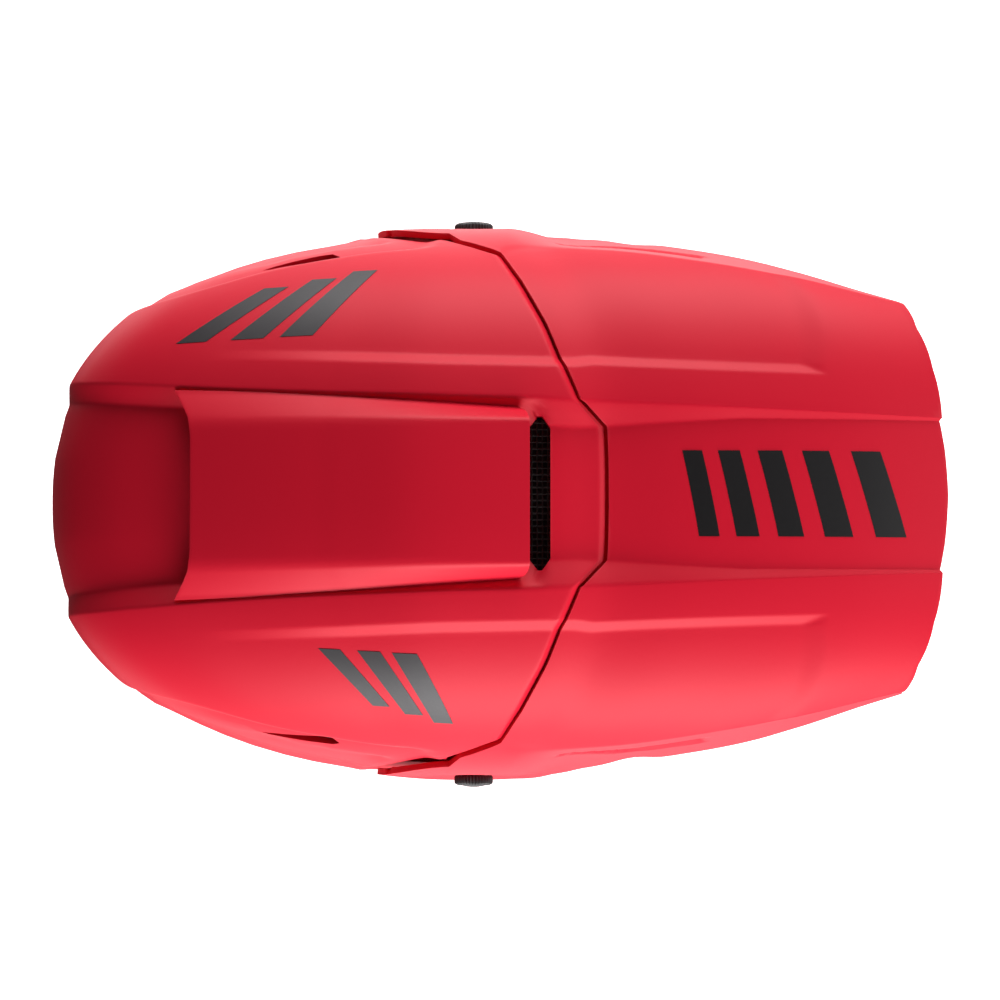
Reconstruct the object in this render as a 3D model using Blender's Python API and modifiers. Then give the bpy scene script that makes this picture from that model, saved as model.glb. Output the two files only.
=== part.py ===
"""Full-face bicycle helmet with an adjustable visor, metres, +Z up, front towards -Y, wearer's left +X."""

import math

import bmesh
import bpy
import numpy as np
from mathutils import Matrix, Vector

# Driving dimensions
HALF_WIDTH = 0.1130  # widest point of the shell, at the visor pivots
PIVOT_HEIGHT = 0.1520  # visor pivots above the rim the helmet stands on
CROWN = 0.0980  # crown above the pivots
REAR = 0.1790  # rearmost point behind the pivots
BROW = 0.1000  # brow edge in front of the pivots
CHIN = 0.1630  # chin bar in front of the pivots
VISOR_REACH = 0.1890  # visor's front edge in front of the pivots
SHELL = 0.0032  # wall of the moulded shell
RECESS = 0.0052  # the shell steps down this much under the visor
VISOR_WALL = 0.0026
EYE_PORT = 0.1020  # height of the eye port at its rear edge
CHANNEL = 0.0060  # depth of the air channel along the crown
COVER_RISE = 0.0052  # duct cover above the crest lines
DECK = 0.0022  # raised bands beside the channel
ARM_RADIUS = 0.0400  # rounded end of the visor's arm
SWEEP_GAP = 0.0032  # shell recess beyond the arm's end
KNOB = 0.0160  # thumb screw diameter
HEAD_SIDE = 0.0310  # shell's side to the head cavity
FIT = 0.0004  # gap between pieces that touch

X_AXIS = Vector((1, 0, 0))


# ---- scene and mesh helpers ------------------------------------------------------------------
for old in list(bpy.data.objects):
    bpy.data.objects.remove(old, do_unlink=True)

HELMET = bpy.data.collections.new("full_face_helmet")
CUTTERS = bpy.data.collections.new("cutters")
for group in (HELMET, CUTTERS):
    bpy.context.scene.collection.children.link(group)
CUTTERS.hide_render = True


def material(name, colour, rough, metal=0.0):
    made = bpy.data.materials.get(name) or bpy.data.materials.new(name)
    made.use_nodes = True
    shader = made.node_tree.nodes["Principled BSDF"]
    shader.inputs["Base Color"].default_value = (*colour, 1)
    shader.inputs["Roughness"].default_value = rough
    shader.inputs["Metallic"].default_value = metal
    made.diffuse_color = (*colour, 1)
    return made


RED = material("red_shell", (0.62, 0.02, 0.04), 0.42)
BLACK = material("black_plastic", (0.03, 0.03, 0.033), 0.5)
RUBBER = material("black_rubber", (0.035, 0.035, 0.035), 0.8)
FOAM = material("expanded_foam", (0.06, 0.06, 0.065), 0.85)
CLOTH = material("pad_fabric", (0.05, 0.05, 0.055), 0.95)
STRAP = material("webbing", (0.03, 0.03, 0.032), 0.9)
STEEL = material("steel", (0.6, 0.6, 0.62), 0.25, 1.0)
BRASS = material("brass", (0.7, 0.52, 0.22), 0.35, 1.0)
MESH_BLACK = material("vent_mesh", (0.02, 0.02, 0.02), 0.6)


def add(name, verts, faces, look=None, cutter=False):
    """A mesh object with its faces turned outwards."""
    bm = bmesh.new()
    rows = [bm.verts.new(v) for v in verts]
    for face in faces:
        bm.faces.new([rows[i] for i in face])
    bmesh.ops.recalc_face_normals(bm, faces=bm.faces)
    mesh = bpy.data.meshes.new(name)
    bm.to_mesh(mesh)
    bm.free()
    made = bpy.data.objects.new(name, mesh)
    (CUTTERS if cutter else HELMET).objects.link(made)
    if look:
        mesh.materials.append(look)
    if cutter:
        made.hide_render = True
        made.display_type = "WIRE"
    return made


def tube(rings, closed=False):
    """Vertices and faces of a skin through equal rings of points, capped unless closed."""
    count, size = len(rings), len(rings[0])
    verts = [tuple(p) for ring in rings for p in ring]
    faces = []
    for i in range(count if closed else count - 1):
        a, b = i * size, (i + 1) % count * size
        faces += [(a + j, a + (j + 1) % size, b + (j + 1) % size, b + j) for j in range(size)]
    if not closed:
        faces += [tuple(range(size)), tuple(range((count - 1) * size, count * size))]
    return verts, faces


def boolean(target, other, kind="DIFFERENCE"):
    step = target.modifiers.new(other.name, "BOOLEAN")
    step.operation = kind
    step.solver = "EXACT"
    step.object = other
    return step


def prism(name, outline, x0, x1):
    """A solid of a side outline, given as (forward, up from the pivots), between two x positions."""
    rings = [[(x, -f, PIVOT_HEIGHT + u) for f, u in outline] for x in (x0, x1)]
    return add(name, *tube(rings), cutter=True)


def put_origin(made, where):
    made.data.transform(Matrix.Translation(-Vector(where)))
    made.location = where


# ---- outer form: half-plane sections through the line of the two pivots -----------------------
# A point is (x, r, angle): angle 0 is forward, 90 up, 180 rear, r the distance from the pivot line.
def spline(keys, at, period=None):
    """Smooth curve through (position, value) keys."""
    keys = sorted(keys)
    if period:
        keys = (
            [(p - period, v) for p, v in keys[-3:]] + keys + [(p + period, v) for p, v in keys[:3]]
        )
    p = np.array([k[0] for k in keys], float)
    v = np.array([k[1] for k in keys], float)
    at = np.asarray(at, float)
    if period:
        at = (at - keys[3][0]) % period + keys[3][0]
    at = np.clip(at, p[0], p[-1])
    slope = np.gradient(v, p)
    i = np.clip(np.searchsorted(p, at) - 1, 0, len(p) - 2)
    h = p[i + 1] - p[i]
    t = (at - p[i]) / h
    return (
        (2 * t**3 - 3 * t**2 + 1) * v[i]
        + (t**3 - 2 * t**2 + t) * h * slope[i]
        + (3 * t**2 - 2 * t**3) * v[i + 1]
        + (t**3 - t**2) * h * slope[i + 1]
    )


def ease(t):
    t = np.clip(t, 0, 1)
    return t * t * (3 - 2 * t)


def polar(points):
    return [(math.degrees(math.atan2(u, f)) % 360, math.hypot(f, u)) for f, u in points]


UP = CROWN / 0.098
BACK = REAR / 0.179
OUT = VISOR_REACH / 0.189
DOWN = PIVOT_HEIGHT / 0.152
WIDE = HALF_WIDTH / 0.113
AHEAD = BROW / 0.1
BAR = CHIN / 0.163

REAR_LINE = [
    (-0.020 * BACK, 0.0985 * UP),
    (-0.060 * BACK, 0.0925 * UP),
    (-0.100 * BACK, 0.0845 * UP),
    (-0.133 * BACK, 0.0740 * UP),
    (-0.156 * BACK, 0.0615 * UP),
    (-0.170 * BACK, 0.0470 * UP),
    (-0.1762 * BACK, 0.0250 * UP),
    (-0.1770 * BACK, -0.0060 * DOWN),
    (-0.1735 * BACK, -0.0420 * DOWN),
    (-0.1650 * BACK, -0.0780 * DOWN),
    (-0.1530 * BACK, -0.1080 * DOWN),
    (-0.1400 * BACK, -0.1340 * DOWN),
    (-0.1240 * BACK, -0.1600 * DOWN),
    (-0.070 * BACK, -0.2150 * DOWN),
    (0.0, -0.2350 * DOWN),
]
CHIN_LINE = [
    (0.080 * BAR, -0.2250 * DOWN),
    (0.128 * BAR, -0.1820 * DOWN),
    (0.150 * BAR, -0.1420 * DOWN),
    (0.162 * BAR, -0.1100 * DOWN),
    (0.162 * BAR, -0.0820 * DOWN),
    (0.149 * BAR, -0.0500 * DOWN),
    (0.126 * BAR, -0.0100 * DOWN),
]
CROWN_LINE = [(0.010, 0.0985 * UP), (0.035, 0.0970 * UP)]
ROOF_LINE = [
    (0.057 * OUT, 0.0935 * UP),
    (0.085 * OUT, 0.0930 * UP),
    (0.115 * OUT, 0.0905 * UP),
    (0.150 * OUT, 0.0845 * UP),
    (0.189 * OUT, 0.0735 * UP),
    (0.205 * OUT, 0.0680 * UP),
]
BROW_LINE = [
    (0.056 * AHEAD, 0.0890 * UP),
    (0.076 * AHEAD, 0.0720 * UP),
    (0.092 * AHEAD, 0.0500 * UP),
    (0.104 * AHEAD, 0.0250 * UP),
]
OUTER_KEYS = polar(REAR_LINE + CHIN_LINE + CROWN_LINE + ROOF_LINE)
UNDER_KEYS = polar(REAR_LINE + CHIN_LINE + CROWN_LINE + BROW_LINE)
EXPONENT = [(16, 2.65), (28, 2.72), (38, 2.58), (58, 2.47), (90, 2.40), (150, 2.45)]
EXPONENT += [(178, 2.33), (215, 2.32), (240, 2.42), (270, 2.4), (312, 2.05), (345, 2.0)]
UNDER_EXPONENT = [(20, 2.2), (58, 2.40)] + EXPONENT[4:-1] + [(345, 1.95)]


def section(angle, share, under=False):
    """Radius on the outer form at |x| = share of the half width."""
    reach = spline(UNDER_KEYS if under else OUTER_KEYS, angle, 360)
    n = spline(UNDER_EXPONENT if under else EXPONENT, angle, 360)
    return reach * np.maximum(1 - np.clip(share, 0, 1) ** n, 0) ** (1 / n)


def share_at(angle, radius, under=False):
    reach = spline(UNDER_KEYS if under else OUTER_KEYS, angle, 360)
    n = spline(UNDER_EXPONENT if under else EXPONENT, angle, 360)
    return np.maximum(1 - np.clip(radius / reach, 0, 1) ** n, 0) ** (1 / n)


# Lines across the form, as shares of the half width against the angle.
CREST = [(18, 0.268), (40, 0.300), (66, 0.325), (98, 0.339), (142, 0.374), (163, 0.412), (200, 0.43)]
FOOT = [(18, 0.262), (40, 0.262), (58, 0.235), (66, 0.228), (98, 0.26), (142, 0.315), (163, 0.345), (200, 0.36)]
DECK_EDGE = [(18, 0.40), (30, 0.420), (62, 0.462), (66, 0.438), (98, 0.451), (142, 0.478), (200, 0.5)]
CREASE = [(16, 0.673), (19, 0.700), (25, 0.774), (37, 0.862), (50, 0.893), (60, 0.898), (78, 0.867)]
PANEL = [(70, 0.884), (83, 0.885), (113, 0.864), (135, 0.779), (152, 0.69), (170, 0.66)]
SEAM_ANGLE = 59.5  # the seam at the middle of the helmet
SEAM = [(0, SEAM_ANGLE), (0.2345, SEAM_ANGLE), (0.33, 66.0), (0.44, 68.3), (0.60, 71.0), (0.76, 75.0)]
SEAM += [(0.866, 78.7), (0.903, 89.4), (0.938, 104.5), (1, 104.5)]
FRONT_EDGE = [(0, 21.3), (0.21, 21.5), (0.268, 21.6), (0.45, 21.0), (0.60, 20.0), (0.69, 18.6)]


def line(keys, at):
    keys = sorted(keys)
    return np.interp(at, [k[0] for k in keys], [k[1] for k in keys])


def channel(angle, share):
    """Depth of the crown channel, deeper under the duct cover and fading towards both ends."""
    depth = line(
        [
            (18, 0.001),
            (30, 0.0022),
            (50, 0.0045),
            (60, CHANNEL),
            (72.2, CHANNEL),
            (73.4, 1.75 * CHANNEL),
            (140, 1.9 * CHANNEL),
            (150, 1.3 * CHANNEL),
            (172, 0.004),
            (185, 0.0),
        ],
        angle,
    )
    crest, foot = line(CREST, angle), line(FOOT, angle)
    return depth * ease((crest - share) / np.maximum(crest - foot, 0.006))


def deck(angle, share):
    """Height of the bands beside the channel, full width ahead of the visor's diagonal."""
    edge = line(DECK_EDGE, angle)
    band = 1 - ease((share - edge) / 0.036)
    front = ease((line([(0.40, 31.6), (0.46, 31.5), (0.80, 26.8)], share) - angle) / 1.2)
    shown = line([(16, 1), (122, 1), (146, 0), (360, 0)], angle)
    return DECK * shown * np.maximum(band, front)


def outer_point(side, angle, share, under=False, drop=0.0, features=True):
    """A point of the outer form; drop is the depth below it, radially and sideways."""
    radius = section(angle, share, under)
    if features:
        radius = radius - channel(angle, share) + (0 if under else deck(angle, share))
    radius = max(float(radius - drop * min(1.0, radius / 0.02)), 0.0)
    x = side * share * (HALF_WIDTH - drop)
    turn = math.radians(float(angle))
    return Vector((float(x), -radius * math.cos(turn), PIVOT_HEIGHT + radius * math.sin(turn)))


def under_amount(angle, share):
    """1 where the shell is stepped down under the visor, 0 where it is at full height."""
    seam = line(SEAM, share)
    angle = angle % 360
    if angle > 300:
        return 1.0
    ahead = ease((seam - angle) / 0.7 + 0.5)
    if angle > 232:
        ahead = ease((angle - 232) / 55)
    ring = ARM_RADIUS + SWEEP_GAP
    near = ease((ring + 0.0012 - section(angle, share)) / 0.0012)
    return float(max(ahead, near))


def shell_stations(seam):
    """Angles around the form, with a close pair on the visor's seam and on the channel's step."""
    front = [seam - 0.36, seam + 0.36, 72.0, 73.5, 80, 88, 97, 107, 117, 127, 137, 146, 155, 164]
    rest = [173, 182, 191, 201, 211, 221, 231, 242, 254, 268, 282, 296, 306, 315, 324, 333, 342]
    ahead = [352, 2, 12, 21, 30, 39, 47, 54]
    return front, rest, ahead


def shell_lanes(angle):
    """Shares across half of the form: channel, crest, deck, panel edge, then rings at the pivot."""
    crest, foot, edge = line(CREST, angle), line(FOOT, angle), line(DECK_EDGE, angle)
    panel = line(PANEL, angle)
    ring = ARM_RADIUS + SWEEP_GAP
    outer = [float(share_at(angle, r)) for r in (ring + 0.0013, ring - 0.0003, 0.026, 0.010)]
    gap = [panel + 0.02 + (outer[0] - panel - 0.02) * k for k in (0.4, 0.72, 0.9)]
    lanes = [0.12, foot, crest, edge, edge + 0.036, (edge + panel) / 2 + 0.02, panel, panel + 0.02]
    return [0.0] + [float(v) for v in lanes + gap + outer]


def form_skin(point, stations, lanes_at, pole):
    """Closed skin around the pivot line, from pole to pole."""
    halves = [lanes_at(a) for a in stations]
    size = len(halves[0])
    rings = []
    for j in range(size - 1, 0, -1):
        rings.append([point(-1, a, halves[i][j], j) for i, a in enumerate(stations)])
    for j in range(size):
        rings.append([point(1, a, halves[i][j], j) for i, a in enumerate(stations)])
    verts = [tuple(p) for ring in rings for p in ring]
    n = len(stations)
    faces = []
    for r in range(len(rings) - 1):
        a, b = r * n, (r + 1) * n
        faces += [(a + j, a + (j + 1) % n, b + (j + 1) % n, b + j) for j in range(n)]
    first, last = len(verts), len(verts) + 1
    verts += [(-pole, 0, PIVOT_HEIGHT), (pole, 0, PIVOT_HEIGHT)]
    top = (len(rings) - 1) * n
    faces += [(first, (j + 1) % n, j) for j in range(n)]
    faces += [(last, top + j, top + (j + 1) % n) for j in range(n)]
    return verts, faces


def outer_form(name, look=None, grow=0.0, cutter=False):
    """The shell's outside, stepped down under the visor."""
    front, rest, ahead = shell_stations(SEAM_ANGLE)
    stations = front + rest + ahead

    def point(side, angle, share, j):
        shift = float(line(SEAM, share)) - SEAM_ANGLE
        if 21 < angle < 120:
            near = 1 - abs(angle - SEAM_ANGLE) / (60 if angle > SEAM_ANGLE else 38)
            angle = angle + shift * max(0, min(1, near * 1.05))
        k = under_amount(angle, share)
        high = outer_point(side, angle, share, drop=-grow)
        low = outer_point(side, angle, share, under=True, drop=RECESS - grow)
        return high.lerp(low, k)

    skin = form_skin(point, stations, shell_lanes, HALF_WIDTH - RECESS + grow)
    return add(name, *skin, look, cutter=cutter)


def inside_form(name, depth=0.0, look=None):
    """A smooth body a given depth inside the shell's inner face: a cutter unless it has a look."""
    side_reach = HALF_WIDTH - RECESS - SHELL - depth
    shares = [0.0, 0.16, 0.32, 0.46, 0.6, 0.72, 0.82, 0.9, 0.955, 0.985, 0.9985]

    def point(side, angle, share, j):
        k = 1 - ease((angle - 66) / 30) if angle < 200 else ease((angle - 232) / 55)
        k = 1.0 if angle > 300 else float(k)
        duct = float(ease((angle - 30) / 30) * (1 - ease((angle - 150) / 35)))
        duct *= 2.1 * CHANNEL * float(1 - ease((share - 0.24) / 0.26))
        drop = SHELL + depth + duct
        high = outer_point(side, angle, share, features=False, drop=drop)
        low = outer_point(side, angle, share, under=True, features=False, drop=drop + RECESS)
        mixed = high.lerp(low, k)
        mixed.x = side * share * side_reach
        return mixed

    skin = form_skin(point, list(range(0, 360, 12)), lambda a: shares, side_reach)
    return add(name, *skin, look, cutter=look is None)


def width_at(forward, up, depth=0.0):
    """Half width of the shell's inside, or of a body that deep inside it, below the pivots."""
    angle, radius = math.degrees(math.atan2(up, forward)) % 360, math.hypot(forward, up)
    share = float(share_at(angle, radius + SHELL + depth, under=angle > 255))
    return share * (HALF_WIDTH - RECESS - SHELL - depth)


# ---- cutters shared by the shell and its linings ----------------------------------------------
def eye_port_outline(grow=0.0):
    """Side outline of the opening, forward and up from the pivots."""
    top, low = 0.044 * UP + grow, 0.044 * UP - EYE_PORT - grow
    back = 0.036 - grow
    return [
        (0.30, top + 0.030),
        (0.115, top + 0.004),
        (0.092, top),
        (0.064, top - 0.003),
        (back + 0.011, top - 0.010),
        (back + 0.003, top - 0.024),
        (back, top - 0.046),
        (back + 0.001, low + 0.030),
        (back + 0.006, low + 0.014),
        (back + 0.018, low + 0.004),
        (0.080, low - 0.001),
        (0.120, low - 0.012),
        (0.155, low - 0.022),
        (0.30, low - 0.062),
    ]


def eye_port(name, grow=0.0):
    return prism(name, eye_port_outline(grow), -0.3, 0.3)


def level_box(name, low, high):
    """Everything between two heights above the ground."""
    low, high = low - PIVOT_HEIGHT, high - PIVOT_HEIGHT
    return prism(name, [(-0.4, low), (0.4, low), (0.4, high), (-0.4, high)], -0.3, 0.3)


def rod(name, centre, radius, x0, x1, steps=16):
    """A cutter along X."""
    rings = [
        [
            (
                x,
                centre[0] + radius * math.cos(math.tau * a / steps),
                centre[1] + radius * math.sin(math.tau * a / steps),
            )
            for a in range(steps)
        ]
        for x in (x0, x1)
    ]
    return add(name, *tube(rings), cutter=True)


def slab(name, centre, out, along, size, look=None):
    """A block: size is (along, across, through), through being its depth in direction out."""
    out, along = Vector(out).normalized(), Vector(along).normalized()
    across = out.cross(along)
    rings = []
    for d in (-size[2] / 2, size[2] / 2):
        corners = ((-1, -1), (1, -1), (1, 1), (-1, 1))
        half = [(a * size[0] / 2, b * size[1] / 2) for a, b in corners]
        rings.append([Vector(centre) + out * d + along * a + across * b for a, b in half])
    return add(name, *tube(rings), look, cutter=look is None)


RIM = 0.0032  # the shell's edge above the ground; the rim trim fills what is below it
PIVOT_CENTRE = (0.0, PIVOT_HEIGHT)
ANCHOR = (0.022, PIVOT_HEIGHT - 0.080)  # strap rivet, y and z
CHIN_VENT = (0.050, 0.022)
SIDE_VENT = (0.034, 0.014)
SLIT = (0.032, 0.0056)


def surface(side, angle, share, drop=0.0, under=False):
    """A point on the shell and its outward direction and its direction around the pivots."""
    here = outer_point(side, angle, share, under, drop, False)
    around = outer_point(side, angle + 1, share, under, drop, False) - here
    across = outer_point(side, angle, share + 0.01, under, drop, False) - here
    out = across.cross(around).normalized() * side
    if out.dot(here - Vector((0, 0.03, PIVOT_HEIGHT))) < 0:
        out = -out
    return here, out, around.normalized()


def vent_places():
    """Each opening of the shell: name, centre, outward direction, long direction, size."""
    here, out, _ = surface(1, 325.0, 0.0, RECESS, True)
    places = [("chin_vent", here, out, X_AXIS, CHIN_VENT)]
    for tag, side in (("left", 1), ("right", -1)):
        here, out, _ = surface(side, 319.5, 0.50, RECESS, True)
        long_way = Vector((0, 0, 1)).cross(out).normalized()
        places.append((f"chin_side_vent_{tag}", here, out, long_way, SIDE_VENT))
        here, out, _ = surface(side, 145, 0.868)
        around = surface(side, 152, 0.835)[0] - here
        around = (around - out * around.dot(out)).normalized()
        places.append((f"side_slit_{tag}", here - out * 0.001, out, around, SLIT))
    return places


# ---- shell and what is fixed to it ------------------------------------------------------------
def outer_shell():
    shell = outer_form("outer_shell", RED)
    boolean(shell, inside_form("shell_inside"))
    boolean(shell, level_box("under_rim", -0.2, RIM))
    boolean(shell, eye_port("eye_port"))
    boolean(shell, rod("pivot_hole", PIVOT_CENTRE, 0.0037, -0.3, 0.3))
    boolean(shell, rod("anchor_hole", ANCHOR, 0.0030, -0.3, 0.3))
    for name, here, out, long_way, size in vent_places():
        boolean(shell, slab(name + "_cut", here, out, long_way, (*size, 0.030)))
    return shell


def trims():
    """Rubber edging in the eye port and under the rim."""
    port = outer_form("eye_port_trim", RUBBER, grow=0.0007)
    boolean(port, inside_form("port_trim_inside", 0.0007))
    boolean(port, eye_port("port_trim_band", -FIT), "INTERSECT")
    boolean(port, eye_port("port_trim_hole", -0.0030))
    boolean(port, level_box("port_trim_level", 0.05, 0.5), "INTERSECT")
    rim = outer_form("neck_trim", RUBBER, grow=0.0007)
    boolean(rim, inside_form("rim_trim_inside", 0.0007))
    boolean(rim, level_box("rim_trim_level", 0.0, RIM - FIT), "INTERSECT")


def duct_cover():
    """Raised cover over the crown duct, open at its front edge and at its rear lip."""
    rings = []
    for k in range(11):
        t = k / 10
        ring = []
        crest_front, crest_rear = line(CREST, 77.0), line(CREST, 145.0)
        crest = crest_front + (crest_rear - crest_front) * t - 0.007
        rows = [(-crest, 0.0006), (-0.244, 1), (-0.12, 1), (0.0, 1), (0.12, 1), (0.244, 1)]
        rows += [(crest, 0.0006), (crest - 0.018, -0.0008), (0.236, 2), (0.0, 2), (-0.236, 2)]
        rows += [(-crest + 0.018, -0.0008)]
        for share, rise in rows:
            height = {1: COVER_RISE, 2: COVER_RISE - 0.0026}.get(rise, rise)
            sweep_back = 2.6 * float(ease((abs(share) - 0.25) / 0.12))
            angle = 76.8 + (143.6 + sweep_back - 76.8) * t
            height += float(deck(angle, abs(share)))
            side = -1 if share < 0 else 1
            ring.append(outer_point(side, angle, abs(share), drop=-height, features=False))
        rings.append(ring)
    return add("duct_cover", *tube(rings), RED)


def duct_meshes():
    """Screens in the duct: one level with the floor at the intake, one across the outlet."""
    for name, angle, across in (("duct_intake_mesh", 74.9, False), ("duct_outlet_mesh", 138.0, True)):
        here = outer_point(1, angle, 0.0, features=False, drop=0.0042 - DECK)
        up = Vector((0, -math.cos(math.radians(angle)), math.sin(math.radians(angle))))
        out = X_AXIS.cross(up).normalized() if across else up
        slab(name, here, out, X_AXIS, (0.050, 0.0058, 0.0012), MESH_BLACK)


def vent_grilles():
    for name, here, out, long_way, size in vent_places():
        inset = {"chin_vent": 0.0068}.get(name, 0.0040 if "chin" in name else 0.0026)
        look = BLACK if "chin" in name else MESH_BLACK
        frame = (size[0] - 2 * FIT, size[1] - 2 * FIT, 0.0016)
        grille = slab(name + "_grille", here - out * inset, out, long_way, frame, look)
        if "chin" not in name:
            continue
        across = Vector(out).cross(long_way).normalized()
        for k in (-1, 1):
            middle = here + across * k * (size[1] * 0.235)
            hole = (frame[0] * 0.86, frame[1] * 0.30, 0.02)
            boolean(grille, slab(f"{name}_gap_{k}", middle, out, long_way, hole))


# ---- visor ------------------------------------------------------------------------------------
def crease_table():
    """The fold between the visor's roof and its flanks: forward, up and x."""
    rows = []
    for angle in np.linspace(16, 80, 60):
        share = float(line(CREASE, angle))
        radius = float(section(angle, share))
        turn = math.radians(angle)
        rows.append((radius * math.cos(turn), radius * math.sin(turn), share * HALF_WIDTH))
    return sorted(rows)


CREASE_ROWS = np.array(crease_table())
DRAFT = [(0.012, 0.205), (0.032, 0.172), (0.044, 0.180), (0.0565, 0.215), (0.077, 0.240), (0.17, 0.235)]


def flank_x(forward, up):
    """Outer face of the visor's flank and arm at a place in side view."""
    angle, radius = math.degrees(math.atan2(up, forward)) % 360, math.hypot(forward, up)
    arm = HALF_WIDTH * float(share_at(angle, radius)) + 0.0008
    arm += 0.065 * max(0.0, -up) - 0.0015 * float(1 - ease((radius - 0.008) / 0.02))
    fold_x = float(np.interp(forward, CREASE_ROWS[:, 0], CREASE_ROWS[:, 2]))
    fold_up = float(np.interp(forward, CREASE_ROWS[:, 0], CREASE_ROWS[:, 1]))
    draft = float(np.interp(forward, *zip(*DRAFT)))
    blend = float(ease((forward - 0.013) / 0.028))
    return arm * (1 - blend) + (fold_x + (fold_up - up) * draft) * blend


def visor():
    """Roof from the front edge to the seam, folding into flanks that run back to round arms."""
    steps = [0, 0.06, 0.18, 0.32, 0.46, 0.60, 0.72, 0.82, 0.91, 1.0]
    verts, faces, index = [], [], {}

    def vertex(key, point):
        index[key] = len(verts)
        verts.append(tuple(point))

    folds = []
    for i, s in enumerate(steps):
        fold_angle = 18.6 + (77.2 - 18.6) * s
        fold = float(line(CREASE, fold_angle))
        for j in range(9):
            share, angle = 0.0, 0.0
            for _ in range(12):
                f_angle = float(line(FRONT_EDGE, share))
                s_angle = float(line(SEAM, share)) - 1.3
                angle = f_angle + (s_angle - f_angle) * s
                crest, foot = float(line(CREST, angle)), float(line(FOOT, angle))
                edge = float(line(DECK_EDGE, angle))
                here = [0, 0.12, foot, crest, edge, edge + 0.036]
                here += [edge + 0.036 + (fold - edge - 0.036) * q for q in (0.4, 0.75, 1.0)]
                share = here[j]
            for side in (-1, 1):
                if j or side > 0:
                    vertex((i, side * j), outer_point(side, angle, share))
        turn = math.radians(angle)
        reach = float(section(angle, share)) + float(deck(angle, share))
        folds.append((reach * math.cos(turn), reach * math.sin(turn)))
    count = len(steps)
    for i in range(count - 1):
        for j in range(-8, 8):
            corners = [(i, j), (i, j + 1), (i + 1, j + 1), (i + 1, j)]
            faces.append(tuple(index[c] for c in corners))

    rows = 4
    lows = []
    length = folds[0][0]
    for f, up in folds:
        if f > 0.077:
            keys = [(0.40, 0.031), (0.62, 0.031), (0.75, 0.024), (0.9, 0.012), (1.0, 0.004)]
            drop = line(keys, f / length)
            lows.append((f, up - float(drop)))
        else:
            fold_up = float(np.interp(0.077, CREASE_ROWS[:, 0], CREASE_ROWS[:, 1]))
            keys = [(0.010, -0.0385), (0.022, -0.029), (0.034, -0.013), (0.050, 0.011)]
            lows.append((f, float(line(keys + [(0.077, fold_up - 0.031)], f))))
    tops = list(folds)
    for upper, lower in ((104, 262), (128, 236), (152, 208)):
        a, b = math.radians(upper), math.radians(lower)
        tops.append((ARM_RADIUS * math.cos(a), ARM_RADIUS * math.sin(a)))
        lows.append((ARM_RADIUS * math.cos(b), ARM_RADIUS * math.sin(b)))
    for i, (top, low) in enumerate(zip(tops, lows)):
        for r in range(rows + 1):
            if r == 0 and i < count:
                for side in (-1, 1):
                    index[(i, "flank", side, 0)] = index[(i, side * 8)]
                continue
            t = r / rows
            f, up = top[0] + (low[0] - top[0]) * t, top[1] + (low[1] - top[1]) * t
            if i == len(tops) - 1:
                a = math.radians(152 + (208 - 152) * t)
                f, up = ARM_RADIUS * math.cos(a), ARM_RADIUS * math.sin(a)
            x = flank_x(f, up)
            for side in (-1, 1):
                vertex((i, "flank", side, r), (side * x, -f, PIVOT_HEIGHT + up))
    for i in range(len(tops) - 1):
        for r in range(rows):
            for side in (-1, 1):
                corners = [(i, r), (i, r + 1), (i + 1, r + 1), (i + 1, r)]
                faces.append(tuple(index[(a, "flank", side, b)] for a, b in corners))
    made = add("visor", verts, faces, RED)
    wall = made.modifiers.new("wall", "SOLIDIFY")
    wall.thickness, wall.offset, wall.use_even_offset = VISOR_WALL, -1, True
    face = flank_x(0.0, 0.0)
    boolean(made, rod("arm_hole", PIVOT_CENTRE, 0.0036, -0.3, 0.3))
    boolean(made, rod("arm_inside", PIVOT_CENTRE, 0.0100, VISOR_WALL - face, face - VISOR_WALL, 20))
    for side in (-1, 1):
        x0, x1 = sorted((side * face, side * 0.3))
        boolean(made, rod(f"knob_seat_{side}", PIVOT_CENTRE, KNOB / 2 + 0.0008, x0, x1, 20))
    put_origin(made, (0, 0, PIVOT_HEIGHT))
    return made


def revolve(name, profile, centre, side, look, steps=20):
    """A ring turned about X through centre from a closed (along X, radius) outline."""
    rings = []
    for k in range(steps):
        turn = math.tau * k / steps
        rings.append(
            [
                (
                    side * along,
                    centre[0] + r * math.cos(turn),
                    centre[1] + r * math.sin(turn),
                )
                for along, r in profile
            ]
        )
    return add(name, *tube(rings, closed=True), look)


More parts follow.
